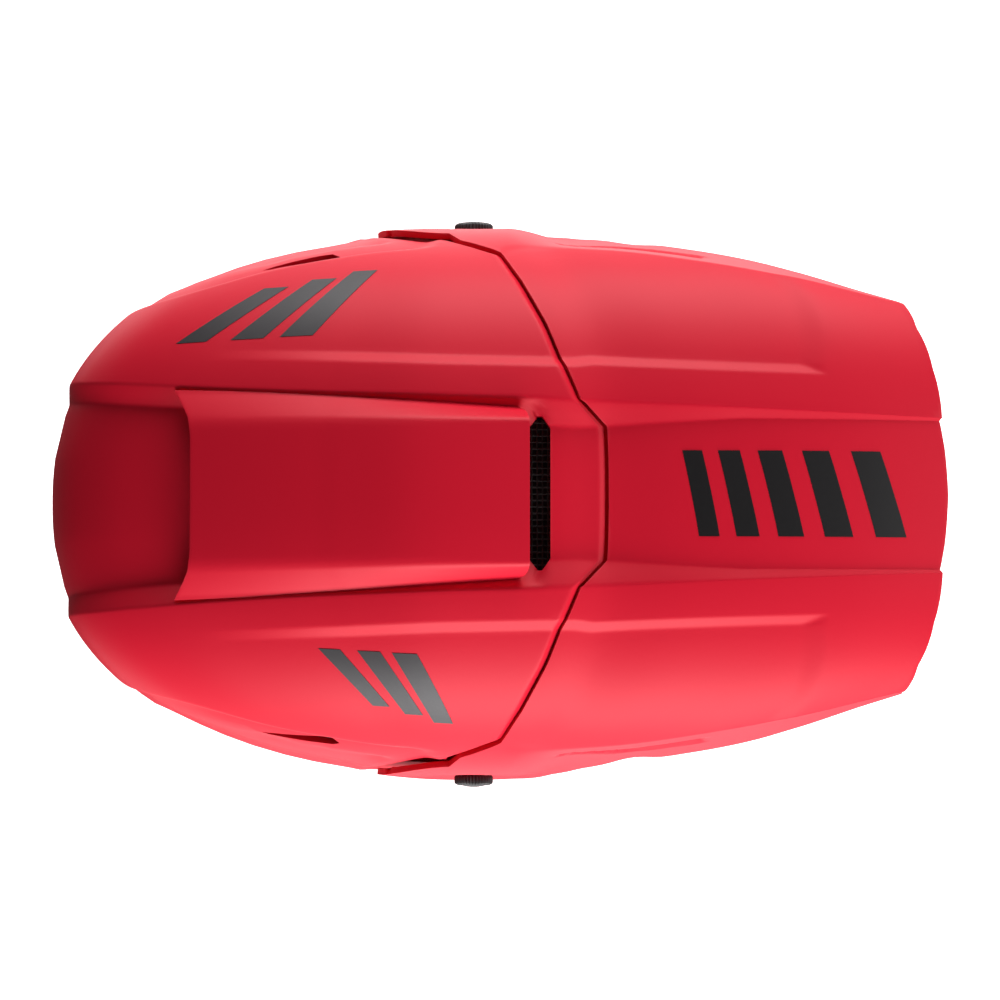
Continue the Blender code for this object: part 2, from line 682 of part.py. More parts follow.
def pivots():
    """On each side, a thumb screw through the arm, its friction washer and the insert it turns in."""
    face = flank_x(0.0, 0.0)
    seat = HALF_WIDTH - RECESS
    inside = seat - SHELL
    k = KNOB / 2
    for tag, side in (("left", 1), ("right", -1)):
        profile = [(inside - 0.0035, 0.0001), (inside - 0.0035, 0.0028), (face + FIT, 0.0028)]
        profile += [(face + FIT, k - 0.0006), (face + 0.0009, k), (face + 0.0036, k)]
        profile += [(face + 0.0046, k - 0.001), (face + 0.0052, k * 0.5), (face + 0.0054, 0.0001)]
        rings = [
            [
                (side * a, r * math.cos(math.tau * q / 24), PIVOT_HEIGHT + r * math.sin(math.tau * q / 24))
                for q in range(24)
            ]
            for a, r in profile
        ]
        knob = add(f"visor_knob_{tag}", *tube(rings), BLACK)
        put_origin(knob, (side * face, 0, PIVOT_HEIGHT))
        gap = face - VISOR_WALL - seat
        washer = [(seat + gap * 0.25, 0.0034), (seat + gap * 0.25, 0.0085)]
        washer += [(seat + gap * 0.70, 0.0085), (seat + gap * 0.70, 0.0034)]
        revolve(f"visor_washer_{tag}", washer, PIVOT_CENTRE, side, RUBBER)
        insert = [(inside - 0.0075, 0.0032), (inside - 0.0075, 0.0058), (inside - 0.0020, 0.0058)]
        insert += [(inside - 0.0020, 0.0095), (inside - 0.0012, 0.0095), (inside - 0.0012, 0.0032)]
        revolve(f"visor_insert_{tag}", insert, PIVOT_CENTRE, side, BRASS)


# ---- linings ----------------------------------------------------------------------------------
HEAD_CENTRE = (-0.030 * BACK, -0.012)
HEAD_SIZE = (HALF_WIDTH - HEAD_SIDE, 0.099 * BACK, 0.078 * UP)


def head_point(turn, rise, depth=0.0):
    """Head cavity: turn is 0 forward and 90 to the left, rise 0 at the temples and 90 at the crown."""
    t, e = math.radians(turn), math.radians(rise)

    def power(v, p):
        return math.copysign(abs(v) ** p, v)

    flat = power(math.cos(e), 0.86)
    side, length, height = (v - depth for v in HEAD_SIZE)
    return Vector(
        (
            side * flat * power(math.sin(t), 0.82),
            -(HEAD_CENTRE[0] + length * flat * power(math.cos(t), 0.82)),
            PIVOT_HEIGHT + HEAD_CENTRE[1] + height * power(math.sin(e), 0.86),
        )
    )


RISES = (0, 8, 17, 27, 38, 50, 62, 73, 82, 89)


def head_cutter(name, depth=0.0):
    """The head cavity as a solid, running straight down through the neck opening."""
    turns = range(0, 360, 12)
    rings = [[head_point(t, 0, depth) + Vector((0, 0, -0.3)) for t in turns]]
    rings += [[head_point(t, e, depth) for t in turns] for e in RISES]
    return add(name, *tube(rings), cutter=True)


def eps_liner():
    liner = inside_form("eps_liner", FIT, FOAM)
    boolean(liner, head_cutter("head_cavity"))
    boolean(liner, eye_port("liner_port", 0.0035))
    back = -0.060 * BACK
    below = [(-0.4, -0.4), (0.4, -0.4), (0.4, -0.048), (back + 0.016, -0.048)]
    below += [(back - 0.010, -0.104 * DOWN), (-0.4, -0.114 * DOWN)]
    boolean(liner, prism("liner_below", below, -0.3, 0.3))
    inside = HALF_WIDTH - RECESS - SHELL
    for side in (-1, 1):
        x0, x1 = sorted((side * (inside - 0.0085), side * (inside + 0.01)))
        boolean(liner, rod(f"insert_pocket_{side}", PIVOT_CENTRE, 0.0105, x0, x1))
    return liner


def chin_foam():
    foam = inside_form("chin_bar_foam", FIT, FOAM)
    low = 0.044 * UP - EYE_PORT
    box = [(0.078, -PIVOT_HEIGHT + 0.014), (0.3, -PIVOT_HEIGHT + 0.014), (0.3, low - 0.074)]
    box += [(0.155, low - 0.027), (0.120, low - 0.017), (0.078, low - 0.006)]
    boolean(foam, prism("chin_foam_side", box, -0.3, 0.3), "INTERSECT")
    boolean(foam, inside_form("chin_foam_inside", 0.0170))
    for name, here, out, long_way, size in vent_places():
        if "chin" in name:
            hole = (size[0] + 0.001, size[1] + 0.001, 0.10)
            boolean(foam, slab(name + "_through", here, out, long_way, hole))
    return foam


def cheek_pads():
    low = 0.044 * UP - EYE_PORT
    side_view = [(-0.006, -PIVOT_HEIGHT + 0.046), (0.009, -PIVOT_HEIGHT + 0.014)]
    side_view += [(0.062, -PIVOT_HEIGHT + 0.014)]
    side_view += [(0.072, -PIVOT_HEIGHT + 0.030), (0.073, low - 0.016), (0.060, low - 0.006)]
    side_view += [(0.040, low - 0.001), (0.031, -0.0515), (-0.006, -0.0515)]
    turns = [math.tau * k / 28 for k in range(28)]
    face = [
        [(0.062 * WIDE * math.sin(t), -0.020 - 0.078 * math.cos(t), z) for t in turns]
        for z in (-0.1, 0.4)
    ]
    for tag, side in (("left", 1), ("right", -1)):
        pad = inside_form(f"cheek_pad_{tag}", FIT, CLOTH)
        x0, x1 = sorted((side * 0.03, side * 0.3))
        boolean(pad, prism(f"cheek_side_{tag}", side_view, x0, x1), "INTERSECT")
        boolean(pad, add(f"face_{tag}", *tube(face), cutter=True))


PAD_GAP = 0.0012
PAD = 0.0085


def patch(name, turns, rises, look):
    """A pad on the wall of the head cavity."""
    rings = []
    for t in turns:
        ring = [head_point(t, e, PAD_GAP) for e in rises]
        ring += [head_point(t, e, PAD) for e in reversed(rises)]
        rings.append(ring)
    return add(name, *tube(rings), look)


def pads():
    patch("brow_pad", range(-60, 61, 12), RISES[2:5], CLOTH)
    patch("rear_pad", range(132, 229, 12), RISES[1:5], CLOTH)
    rings = []
    rows = [(q, PAD_GAP) for q in (0.0, 0.33, 0.66, 1.0)] + [(q, PAD) for q in (1.0, 0.66, 0.33, 0.0)]
    for share, depth in rows:
        ring = []
        for t in range(0, 360, 12):
            edge = 54 - 6 * math.cos(math.radians(4 * t))
            ring.append(head_point(t, 88 + (edge - 88) * share, depth))
        rings.append(ring)
    add("crown_pad", *tube(rings), CLOTH)


def sweep(path, normals, outline, closed=False):
    """Rings of an outline, given as (across, along the normal), carried along a path."""
    rings, count = [], len(path)
    for i, here in enumerate(path):
        if closed:
            tangent = path[(i + 1) % count] - path[i - 1]
        else:
            tangent = path[min(i + 1, count - 1)] - path[max(i - 1, 0)]
        tangent.normalize()
        normal = (normals[i] - tangent * normals[i].dot(tangent)).normalized()
        across = tangent.cross(normal)
        rings.append([here + across * a + normal * b for a, b in outline])
    return rings


def neck_roll():
    """Padded roll along the rear of the neck opening, just inside the shell."""
    level = -PIVOT_HEIGHT + 0.020
    path, normals = [], []
    for k in range(19):
        turn = math.radians(-84 + 168 * k / 18)
        low, high = 0.02, 0.25
        for _ in range(30):
            mid = (low + high) / 2
            f, x = -0.030 - mid * math.cos(turn), mid * abs(math.sin(turn))
            low, high = (mid, high) if x < width_at(f, level, 0.0005) else (low, mid)
        reach = low - 0.0150
        path.append(Vector((reach * math.sin(turn), 0.030 + reach * math.cos(turn), 0.020)))
        normals.append(Vector((0, 0, 1)))
    ring = [(math.cos(a), math.sin(a)) for a in (math.tau * k / 12 for k in range(12))]
    outline = [(0.0125 * c, 0.0115 * s) for c, s in ring]
    rings = sweep(path, normals, outline)
    return add("neck_roll", *tube(rings), CLOTH)


# ---- chin strap -------------------------------------------------------------------------------
WEB = (0.020, 0.0016)


def smooth(points, count):
    """Points evenly spread on a smooth curve through the given ones."""
    keys = np.array(points, float)
    along = np.concatenate([[0], np.cumsum(np.linalg.norm(np.diff(keys, axis=0), axis=1))])
    at = np.linspace(0, along[-1], count)
    columns = [spline(list(zip(along, keys[:, c])), at) for c in range(keys.shape[1])]
    return [Vector(row) for row in np.array(columns).T]


def wall_at(height):
    """Half width inside the shell at the strap, at a height above the ground."""
    up = height - PIVOT_HEIGHT
    return min(width_at(-ANCHOR[0] - 0.011, up), width_at(-ANCHOR[0] + 0.011, up)) - 0.0008


def anchor_face():
    return wall_at(ANCHOR[1] - 0.010)


def under_chin(x, height):
    """A place on the straight run below the chin, from the wall at the left to the one at the right."""
    return (x, 0.022 - 0.356 * (0.090 * WIDE - abs(x)), height)


def strap_points(side):
    """Strap from its rivet down the shell's wall and in towards the middle."""
    x = anchor_face() - FIT - WEB[1] / 2
    wall = [wall_at(z) - 0.0028 for z in (0.052, 0.036)]
    return [
        (side * x, ANCHOR[0], ANCHOR[1] + 0.011),
        (side * x, ANCHOR[0], ANCHOR[1] - 0.007),
        (side * min(x, wall[0]), ANCHOR[0], 0.052),
        (side * (min(x, wall[1]) - 0.007), ANCHOR[0] - 0.001, 0.036),
        under_chin(side * 0.068 * WIDE, 0.0235),
    ]


def strap_normal(here):
    """Flat side of the webbing: against the shell at the rivet, level below the chin."""
    level = float(ease((0.062 - here.z) / 0.040))
    return Vector((-math.copysign(1 - level, here.x), 0, level + 0.001))


def strap_run(points, loop, count):
    """Path and flat side of a strap: a smooth run, then a loop given as (x, height) below the chin."""
    path = smooth(points, count)
    normals = [strap_normal(here) for here in path]
    turn = Vector(under_chin(0.04, 0)) - Vector(under_chin(0.03, 0))
    across = Vector((0, 0, 1)).cross(turn).normalized()
    ends = [Vector(under_chin(x, z)) for x, z in loop]
    for i, here in enumerate(ends):
        before = ends[i - 1] if i else path[-1]
        after = ends[min(i + 1, len(ends) - 1)]
        normal = across.cross(after - before).normalized()
        if i == 0:
            flip = 1 if normal.z > 0 else -1
        normals.append(normal * flip)
    return path + ends, normals


def chin_strap():
    """Webbing on both sides, the rings that close it and the sleeves over it."""
    short = [(0.057, 0.0165), (0.052, 0.0112), (0.0465, 0.0092), (0.0420, 0.0112)]
    short += [(0.0405, 0.0155), (0.0420, 0.0198), (0.0465, 0.0218), (0.0520, 0.0212)]
    long = [(-0.030, 0.0100), (-0.010, 0.0086), (0.010, 0.0080), (0.0235, 0.0082)]
    long += [(0.0305, 0.0103), (0.0332, 0.0155), (0.0302, 0.0207), (0.0235, 0.0224)]
    long += [(0.0140, 0.0210), (-0.005, 0.0172), (-0.035, 0.0150)]
    w, t = WEB[0] / 2, WEB[1] / 2
    flat = [(-w, -t), (w, -t), (w, t), (-w, t)]
    outer = [(-0.0125, -0.0034), (0.0125, -0.0034), (0.0140, 0), (0.0125, 0.0034)]
    outer += [(-0.0125, 0.0034), (-0.0140, 0)]
    inner = [(0.88 * a, 0.52 * b) for a, b in outer]
    for tag, side, loop in (("left", 1, short), ("right", -1, long)):
        path, normals = strap_run(strap_points(side), loop, 16)
        band = add(f"chin_strap_{tag}", *tube(sweep(path, normals, flat)), STRAP)
        boolean(band, rod(f"strap_hole_{tag}", ANCHOR, 0.0030, -0.3, 0.3))
        skins = sweep(path, normals, outer)[8:16]
        skins += reversed(sweep(path, normals, inner)[8:16])
        add(f"strap_sleeve_{tag}", *tube(skins, closed=True), CLOTH)
    for name, bar, bow in (("d_ring_inner", 0.0132, 0.0120), ("d_ring_outer", 0.0178, 0.0185)):
        path = []
        for k in range(20):
            turn = math.radians(90 + 180 * k / 13) if k <= 13 else 0
            if k <= 13:
                along = 0.0365 + 0.0140 * math.cos(turn)
                over = math.copysign(0.0126 * abs(math.sin(turn)) ** 0.5, math.sin(turn))
            elif k < 16:
                along, over = (0.0415, -0.0126) if k == 14 else (0.0450, -0.0119)
            elif k < 18:
                along, over = 0.0465, (-0.0075, 0.0075)[k - 16]
            else:
                along, over = ((0.0450, 0.0119), (0.0415, 0.0126))[k - 18]
            height = bow + (bar - bow) * (along - 0.0225) / 0.024
            x, y, z = under_chin(along, height)
            step = Vector((0.335, -0.942, 0)) * over
            path.append(Vector((x, y, z)) + step)
        ring = [(math.cos(a), math.sin(a)) for a in (math.tau * k / 8 for k in range(8))]
        outline = [(0.0015 * c, 0.0015 * q) for c, q in ring]
        rings = sweep(path, [Vector((0, 0, 1))] * len(path), outline, closed=True)
        add(name, *tube(rings, closed=True), STEEL)
    middle = Vector(under_chin(-0.024, 0.0158 + 0.0018))
    rings = []
    for rise, r in ((0.0, 0.0058), (0.0014, 0.0058), (0.0024, 0.0040)):
        turns = [math.tau * k / 16 for k in range(16)]
        rings.append([middle + Vector((r * math.cos(q), r * math.sin(q), rise)) for q in turns])
    add("strap_snap", *tube(rings), STEEL)


def rivets():
    inner = anchor_face()
    f, up = -ANCHOR[0], ANCHOR[1] - PIVOT_HEIGHT
    angle, radius = math.degrees(math.atan2(up, f)) % 360, math.hypot(f, up)
    k = under_amount(angle, 0.9)
    high = float(share_at(angle, radius)) * HALF_WIDTH
    low = float(share_at(angle, radius, under=True)) * (HALF_WIDTH - RECESS)
    outer = high + (low - high) * k
    for tag, side in (("left", 1), ("right", -1)):
        tail = inner - 2 * FIT - WEB[1]
        profile = [(tail - 0.0012, 0.0001), (tail - 0.0012, 0.0060), (tail, 0.0060), (tail, 0.0026)]
        profile += [(outer + 0.0012, 0.0026), (outer + 0.0012, 0.0068), (outer + 0.0020, 0.0062)]
        profile += [(outer + 0.0028, 0.0001)]
        rings = [
            [
                (
                    side * a,
                    ANCHOR[0] + r * math.cos(math.tau * q / 16),
                    ANCHOR[1] + r * math.sin(math.tau * q / 16),
                )
                for q in range(16)
            ]
            for a, r in profile
        ]
        add(f"strap_rivet_{tag}", *tube(rings), STEEL)


outer_shell()
trims()
duct_cover()
duct_meshes()
vent_grilles()
visor()
pivots()
eps_liner()
chin_foam()
cheek_pads()
pads()
neck_roll()
chin_strap()
rivets()


def centre_on_base():
    """Moves everything so that the origin is under the middle of the helmet's length."""
    bpy.context.view_layer.update()
    graph = bpy.context.evaluated_depsgraph_get()
    reach = []
    for name in ("outer_shell", "visor"):
        seen = bpy.data.objects[name].evaluated_get(graph)
        reach += [(seen.matrix_world @ Vector(corner)).y for corner in seen.bound_box]
    middle = (min(reach) + max(reach)) / 2
    for each in bpy.data.objects:
        each.location.y -= middle


centre_on_base()
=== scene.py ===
"""Full-face bicycle helmet with an adjustable visor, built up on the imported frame."""
import math

import bmesh
import bpy
import numpy as np
from mathutils import Matrix, Vector
from mathutils.bvhtree import BVHTree


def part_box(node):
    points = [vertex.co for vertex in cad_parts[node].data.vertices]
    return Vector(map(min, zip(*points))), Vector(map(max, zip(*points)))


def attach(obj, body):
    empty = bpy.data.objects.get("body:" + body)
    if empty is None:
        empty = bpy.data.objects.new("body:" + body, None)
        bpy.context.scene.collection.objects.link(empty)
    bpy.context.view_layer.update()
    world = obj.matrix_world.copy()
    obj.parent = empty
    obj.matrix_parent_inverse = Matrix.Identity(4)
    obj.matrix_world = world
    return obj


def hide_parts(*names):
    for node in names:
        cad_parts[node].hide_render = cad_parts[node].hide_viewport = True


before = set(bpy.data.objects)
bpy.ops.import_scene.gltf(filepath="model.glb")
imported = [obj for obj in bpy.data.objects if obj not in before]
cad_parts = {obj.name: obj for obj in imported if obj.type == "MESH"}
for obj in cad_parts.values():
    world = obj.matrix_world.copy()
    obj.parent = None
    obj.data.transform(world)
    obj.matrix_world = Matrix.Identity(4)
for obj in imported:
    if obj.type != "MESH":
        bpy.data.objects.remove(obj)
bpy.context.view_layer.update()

# ==== Outer shell =============================================================================
# Thermoplastic shell moulded in one piece, 3 mm thick, painted satin red. It is lofted round the
# line through the two visor pivots, so every station is a half plane through that line.
low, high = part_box("visor_insert_left")
PIVOT_Y, PIVOT_Z = (low.y + high.y) / 2, (low.z + high.z) / 2
HALF_WIDTH = 0.1130
SHELL_WALL, RECESS = 0.0032, 0.0052
CHANNEL_DEPTH, DECK_RISE = 0.0060, 0.0022
ARM_RING = 0.0432  # the hollow for the rounded end of the visor's arm
CHIN_FROM, CHIN_OVER = 232, 55  # degrees over which the side form passes into the chin bar's
BROW_TURN, PORT_TURN = 12, 300  # between these angles, round the front, the form is the inner one
PORT_TOP, PORT_HEIGHT = 0.044, 0.102

REAR_LINE = [(-0.020, 0.0985), (-0.060, 0.0925), (-0.100, 0.0845), (-0.133, 0.0740)]
REAR_LINE += [(-0.156, 0.0615), (-0.170, 0.0470), (-0.1762, 0.0250), (-0.1770, -0.0060)]
REAR_LINE += [(-0.1735, -0.0420), (-0.1650, -0.0780), (-0.1530, -0.1080), (-0.1400, -0.1340)]
REAR_LINE += [(-0.1240, -0.1600), (-0.070, -0.2150), (0.0, -0.2350)]
CHIN_LINE = [(0.080, -0.2250), (0.128, -0.1820), (0.150, -0.1420), (0.162, -0.1100)]
CHIN_LINE += [(0.162, -0.0820), (0.149, -0.0500), (0.126, -0.0100)]
CROWN_LINE = [(0.010, 0.0985), (0.035, 0.0970)]
ROOF_LINE = [(0.057, 0.0935), (0.085, 0.0930), (0.115, 0.0905), (0.150, 0.0845)]
ROOF_LINE += [(0.189, 0.0735), (0.205, 0.0680)]
BROW_LINE = [(0.056, 0.0890), (0.076, 0.0720), (0.092, 0.0500), (0.104, 0.0250)]
FULLNESS = [(16, 2.65), (28, 2.72), (38, 2.58), (58, 2.47), (90, 2.40), (150, 2.45)]
FULLNESS += [(178, 2.33), (215, 2.32), (240, 2.42), (270, 2.4), (312, 2.05), (345, 2.0)]
BROW_FULLNESS = [(20, 2.2), (58, 2.40)] + FULLNESS[4:-1] + [(345, 1.95)]


def around(points):
    return [(math.degrees(math.atan2(u, f)) % 360, math.hypot(f, u)) for f, u in points]


OUTER_REACH = around(REAR_LINE + CHIN_LINE + CROWN_LINE + ROOF_LINE)
BROW_REACH = around(REAR_LINE + CHIN_LINE + CROWN_LINE + BROW_LINE)

# Lines of the styling, as shares of the half width against the angle round the pivots.
CREST = [(18, 0.268), (40, 0.300), (66, 0.325), (98, 0.339), (142, 0.374), (163, 0.412)]
CREST += [(200, 0.43)]
FOOT = [(18, 0.262), (40, 0.262), (58, 0.235), (66, 0.228), (98, 0.26), (142, 0.300)]
FOOT += [(152, 0.318), (163, 0.340), (176, 0.352), (200, 0.36)]
DECK_EDGE = [(18, 0.40), (30, 0.420), (62, 0.450), (66, 0.442), (98, 0.451), (142, 0.478)]
DECK_EDGE += [(200, 0.5)]
FOLD = [(16, 0.673), (19, 0.700), (25, 0.774), (37, 0.862), (50, 0.893), (60, 0.898)]
FOLD += [(70, 0.886), (78, 0.867)]
PANEL = [(70, 0.900), (78, 0.903), (110, 0.895), (134, 0.862), (146, 0.815), (158, 0.722), (172, 0.66)]
PANEL += [(186, 0.65)]
SEAM_ANGLE = 59.5
SEAM = [(0, SEAM_ANGLE), (0.2345, SEAM_ANGLE), (0.33, 66.0), (0.44, 68.3), (0.60, 71.0)]
SEAM += [(0.76, 75.0), (0.866, 78.7), (0.903, 89.4), (0.938, 104.5), (1, 104.5)]
FRONT_EDGE = [(0, 21.3), (0.21, 21.5), (0.268, 21.6), (0.45, 21.0), (0.60, 20.0), (0.69, 18.6)]


def curve_through(keys, at, period=None):
    """Smooth curve through (position, value) keys."""
    keys = sorted(keys)
    if period:
        before = [(p - period, v) for p, v in keys[-3:]]
        keys = before + keys + [(p + period, v) for p, v in keys[:3]]
    p = np.array([k[0] for k in keys], float)
    v = np.array([k[1] for k in keys], float)
    at = np.asarray(at, float)
    if period:
        at = (at - keys[3][0]) % period + keys[3][0]
    at = np.clip(at, p[0], p[-1])
    slope = np.gradient(v, p)
    i = np.clip(np.searchsorted(p, at) - 1, 0, len(p) - 2)
    h = p[i + 1] - p[i]
    t = (at - p[i]) / h
    return (
        (2 * t**3 - 3 * t**2 + 1) * v[i]
        + (t**3 - 2 * t**2 + t) * h * slope[i]
        + (3 * t**2 - 2 * t**3) * v[i + 1]
        + (t**3 - t**2) * h * slope[i + 1]
    )


def straight_through(keys, at):
    keys = sorted(keys)
    return np.interp(at, [k[0] for k in keys], [k[1] for k in keys])


def ease(t):
    t = np.clip(t, 0, 1)
    return t * t * (3 - 2 * t)


def facet(t, soft=0.12):
    """A straight slope from 0 to 1 whose two corners are rounded by soft."""

    def knee(v):
        return np.where(v > soft, v, np.where(v < -soft, 0, (v + soft) ** 2 / (4 * soft)))

    return knee(t) - knee(t - 1)


def reach_at(angle, share, under=False):
    """Distance from the pivot line to the outer form, at |x| = share of the half width."""
    reach = curve_through(BROW_REACH if under else OUTER_REACH, angle, 360)
    n = curve_through(BROW_FULLNESS if under else FULLNESS, angle, 360)
    return reach * np.maximum(1 - np.clip(np.abs(share), 0, 1) ** n, 0) ** (1 / n)


def share_where(angle, radius, under=False):
    reach = curve_through(BROW_REACH if under else OUTER_REACH, angle, 360)
    n = curve_through(BROW_FULLNESS if under else FULLNESS, angle, 360)
    return np.maximum(1 - np.clip(radius / reach, 0, 1) ** n, 0) ** (1 / n)


CHANNEL_RUN = [(18, 0.001), (30, 0.0022), (50, 0.0045), (60, CHANNEL_DEPTH), (73.2, CHANNEL_DEPTH)]
CHANNEL_RUN += [(74.2, 1.75 * CHANNEL_DEPTH), (138, 1.95 * CHANNEL_DEPTH), (144, 1.80 * CHANNEL_DEPTH)]
CHANNEL_RUN += [(152, 1.35 * CHANNEL_DEPTH), (163, 0.0058), (174, 0.0038), (185, 0.0012), (194, 0)]


def channel_depth(angle, share):
    """The crown's air channel: a flat floor between two straight walls that end at the crests."""
    depth = straight_through(CHANNEL_RUN, angle)
    crest, foot = curve_through(CREST, angle), straight_through(FOOT, angle)
    return depth * facet((crest - np.abs(share)) / np.maximum(crest - foot, 0.006), 0.09)


def deck_rise(angle, share):
    """The raised bands beside the channel, full width ahead of the visor's diagonal step."""
    share = np.abs(share)
    edge = straight_through(DECK_EDGE, angle)
    band = facet((edge + 0.034 - share) / 0.034, 0.16)
    step = straight_through([(0.40, 31.6), (0.46, 31.5), (0.80, 26.8)], share)
    front = facet((step - angle) / 1.5 + 0.5, 0.12)
    shown = straight_through([(16, 1), (118, 1), (146, 0), (360, 0)], angle)
    return DECK_RISE * shown * np.maximum(band, front)


def on_form(angle, share, drop=0.0, under=False, styled=True):
    """Points of the outer form; a negative share is the wearer's right."""
    angle, share = np.broadcast_arrays(np.asarray(angle, float), np.asarray(share, float))
    radius = reach_at(angle, share, under)
    if styled:
        radius = radius - channel_depth(angle, share)
        if not under:
            radius = radius + deck_rise(angle, share)
    radius = np.maximum(radius - drop * np.minimum(1, radius / 0.02), 0)
    turn = np.radians(angle)
    x = share * (HALF_WIDTH - drop)
    return np.stack([x, PIVOT_Y - radius * np.cos(turn), PIVOT_Z + radius * np.sin(turn)], -1)


def seam_turn(angle, share):
    """Stations near the visor's seam follow it out to the arms."""
    shift = straight_through(SEAM, np.abs(share)) - SEAM_ANGLE
    near = 1 - np.abs(angle - SEAM_ANGLE) / np.where(angle > SEAM_ANGLE, 60, 38)
    inside = (angle > 21) & (angle < 120)
    return angle + np.where(inside, shift * np.clip(near * 1.05, 0, 1), 0)


def chin_share(angle):
    return ease((angle - CHIN_FROM) / CHIN_OVER)


def past_seam(angle, share):
    """Distance behind the edge that faces the visor, negative in the hollow under it."""
    radius = reach_at(angle, share)
    gap = np.radians(angle - straight_through(SEAM, np.abs(share))) * radius
    gap = np.where(angle > CHIN_FROM, 0.01 - 0.02 * chin_share(angle), gap)
    gap = np.where((angle > PORT_TURN) | (angle < BROW_TURN), -0.01, gap)
    return np.minimum(gap, radius - ARM_RING)


def radius_room(angle, share):
    """0 beside the arm's hollow, 1 from a centimetre and a half outside it."""
    return ease((reach_at(angle, share) - ARM_RING - 0.004) / 0.01)


def shell_surface(angle, share, grow=0.0):
    """The finished outside: panel steps, rounded seam edge, and the hollow under the visor."""
    gap = past_seam(angle, share)
    bevel = 0.0013 * facet((0.0028 - gap) / 0.0026, 0.10)
    across = np.abs(share)
    panel = curve_through(PANEL, angle)
    shown = ease((angle - 104) / 14) * (1 - ease((angle - 168) / 16))
    step = 0.0018 * shown * facet((across - panel) / 0.016, 0.2)
    below = [(80, 0.09), (118, 0.055), (134, 0.075), (150, 0.10), (190, 0.12)]
    lower = panel + straight_through(below, angle)
    shown = ease((angle - 118) / 10) * (1 - ease((angle - 178) / 16))
    step = step + 0.0013 * shown * facet((across - lower) / 0.012, 0.2) * radius_room(angle, share)
    full = on_form(angle, share, bevel + step - grow)
    tucked = on_form(angle, share, RECESS - grow, under=True)
    amount = facet((0.0001 - gap) / 0.0005, 0.2)
    k = np.where(angle > CHIN_FROM, chin_share(angle), amount)
    k = np.where((angle > PORT_TURN) | (angle < BROW_TURN), 1, k)
    ring = facet((ARM_RING + 0.0002 - reach_at(angle, share)) / 0.0005, 0.2)
    k = np.maximum(k, ring)[..., None]
    return full * (1 - k) + tucked * k


def skin_round(point, stations, shares_of, pole):
    """A closed skin round the pivot line: one ring of points for each share, and a point at each pole."""
    stations = np.asarray(stations, float)
    half = np.array([shares_of(a) for a in stations])
    lanes = range(half.shape[1])
    rings = [-half[:, j] for j in lanes[:0:-1]] + [half[:, j] for j in lanes]
    verts = np.concatenate([point(stations, ring) for ring in rings])
    n, count = len(stations), len(rings)
    faces = []
    for r in range(count - 1):
        a, b = r * n, (r + 1) * n
        faces += [(a + j, a + (j + 1) % n, b + (j + 1) % n, b + j) for j in range(n)]
    first = len(verts)
    verts = np.concatenate([verts, [[-pole, PIVOT_Y, PIVOT_Z], [pole, PIVOT_Y, PIVOT_Z]]])
    top = (count - 1) * n
    faces += [(first, (j + 1) % n, j) for j in range(n)]
    faces += [(first + 1, top + j, top + (j + 1) % n) for j in range(n)]
    return verts, faces


def piece(name, verts, faces, look=None, body="shell", slot=None, replaces=(), sharp=38):
    """A mesh object of this helmet, riding on its body."""
    mesh = bpy.data.meshes.new(name)
    mesh.from_pydata([tuple(v) for v in verts], [], faces)
    shape = bmesh.new()
    shape.from_mesh(mesh)
    bmesh.ops.recalc_face_normals(shape, faces=shape.faces)
    shape.to_mesh(mesh)
    shape.free()
    made = bpy.data.objects.new(name, mesh)
    bpy.context.scene.collection.objects.link(made)
    return settle(made, look, body, slot, replaces, sharp)


def settle(made, look=None, body="shell", slot=None, replaces=(), sharp=38):
    """Finish, smooth shading, body and the nodes that a piece stands for; slot is not used."""
    if made.type == "MESH":
        made.data.shade_smooth()
        made.data.set_sharp_from_angle(angle=math.radians(sharp))
    if look is not None:
        made.data.materials.clear()
        made.data.materials.append(look)
    if body:
        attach(made, body)
    if replaces:
        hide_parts(*replaces)
    return made


def apply_steps(made):
    """Bakes a piece's modifiers into its mesh."""
    graph = bpy.context.evaluated_depsgraph_get()
    baked = bpy.data.meshes.new_from_object(made.evaluated_get(graph))
    made.modifiers.clear()
    made.data = baked
    return made


def cut(made, tools, kind="DIFFERENCE"):
    """Cuts a piece with solids, which are then thrown away."""
    for tool in tools:
        step = made.modifiers.new(tool.name, "BOOLEAN")
        step.operation, step.solver, step.object = kind, "EXACT", tool
    apply_steps(made)
    for tool in tools:
        bpy.data.objects.remove(tool)
    return made


def loft(rings, closed=False):
    """Skin through equal rings of points, capped unless closed."""
    count, size = len(rings), len(rings[0])
    verts = [tuple(p) for ring in rings for p in ring]
    faces = []
    for i in range(count if closed else count - 1):
        a, b = i * size, (i + 1) % count * size
        faces += [(a + j, a + (j + 1) % size, b + (j + 1) % size, b + j) for j in range(size)]
    if not closed:
        faces += [tuple(range(size)), tuple(range((count - 1) * size, count * size))]
    return verts, faces


def side_cut(name, outline, x0=-0.3, x1=0.3):
    """A solid of a side outline, given as (forward, up) from the pivots."""
    rings = [[(x, PIVOT_Y - f, PIVOT_Z + u) for f, u in outline] for x in (x0, x1)]
    return piece(name, *loft(rings), body=None)


def rod_cut(name, forward, up, radius, x0=-0.3, x1=0.3, sides=48):
    turns = [math.tau * k / sides for k in range(sides)]
    outline = [(forward + radius * math.cos(t), up + radius * math.sin(t)) for t in turns]
    return side_cut(name, outline, x0, x1)


def level_cut(name, z0, z1):
    u0, u1 = z0 - PIVOT_Z, z1 - PIVOT_Z
    return side_cut(name, [(-0.4, u0), (0.4, u0), (0.4, u1), (-0.4, u1)])


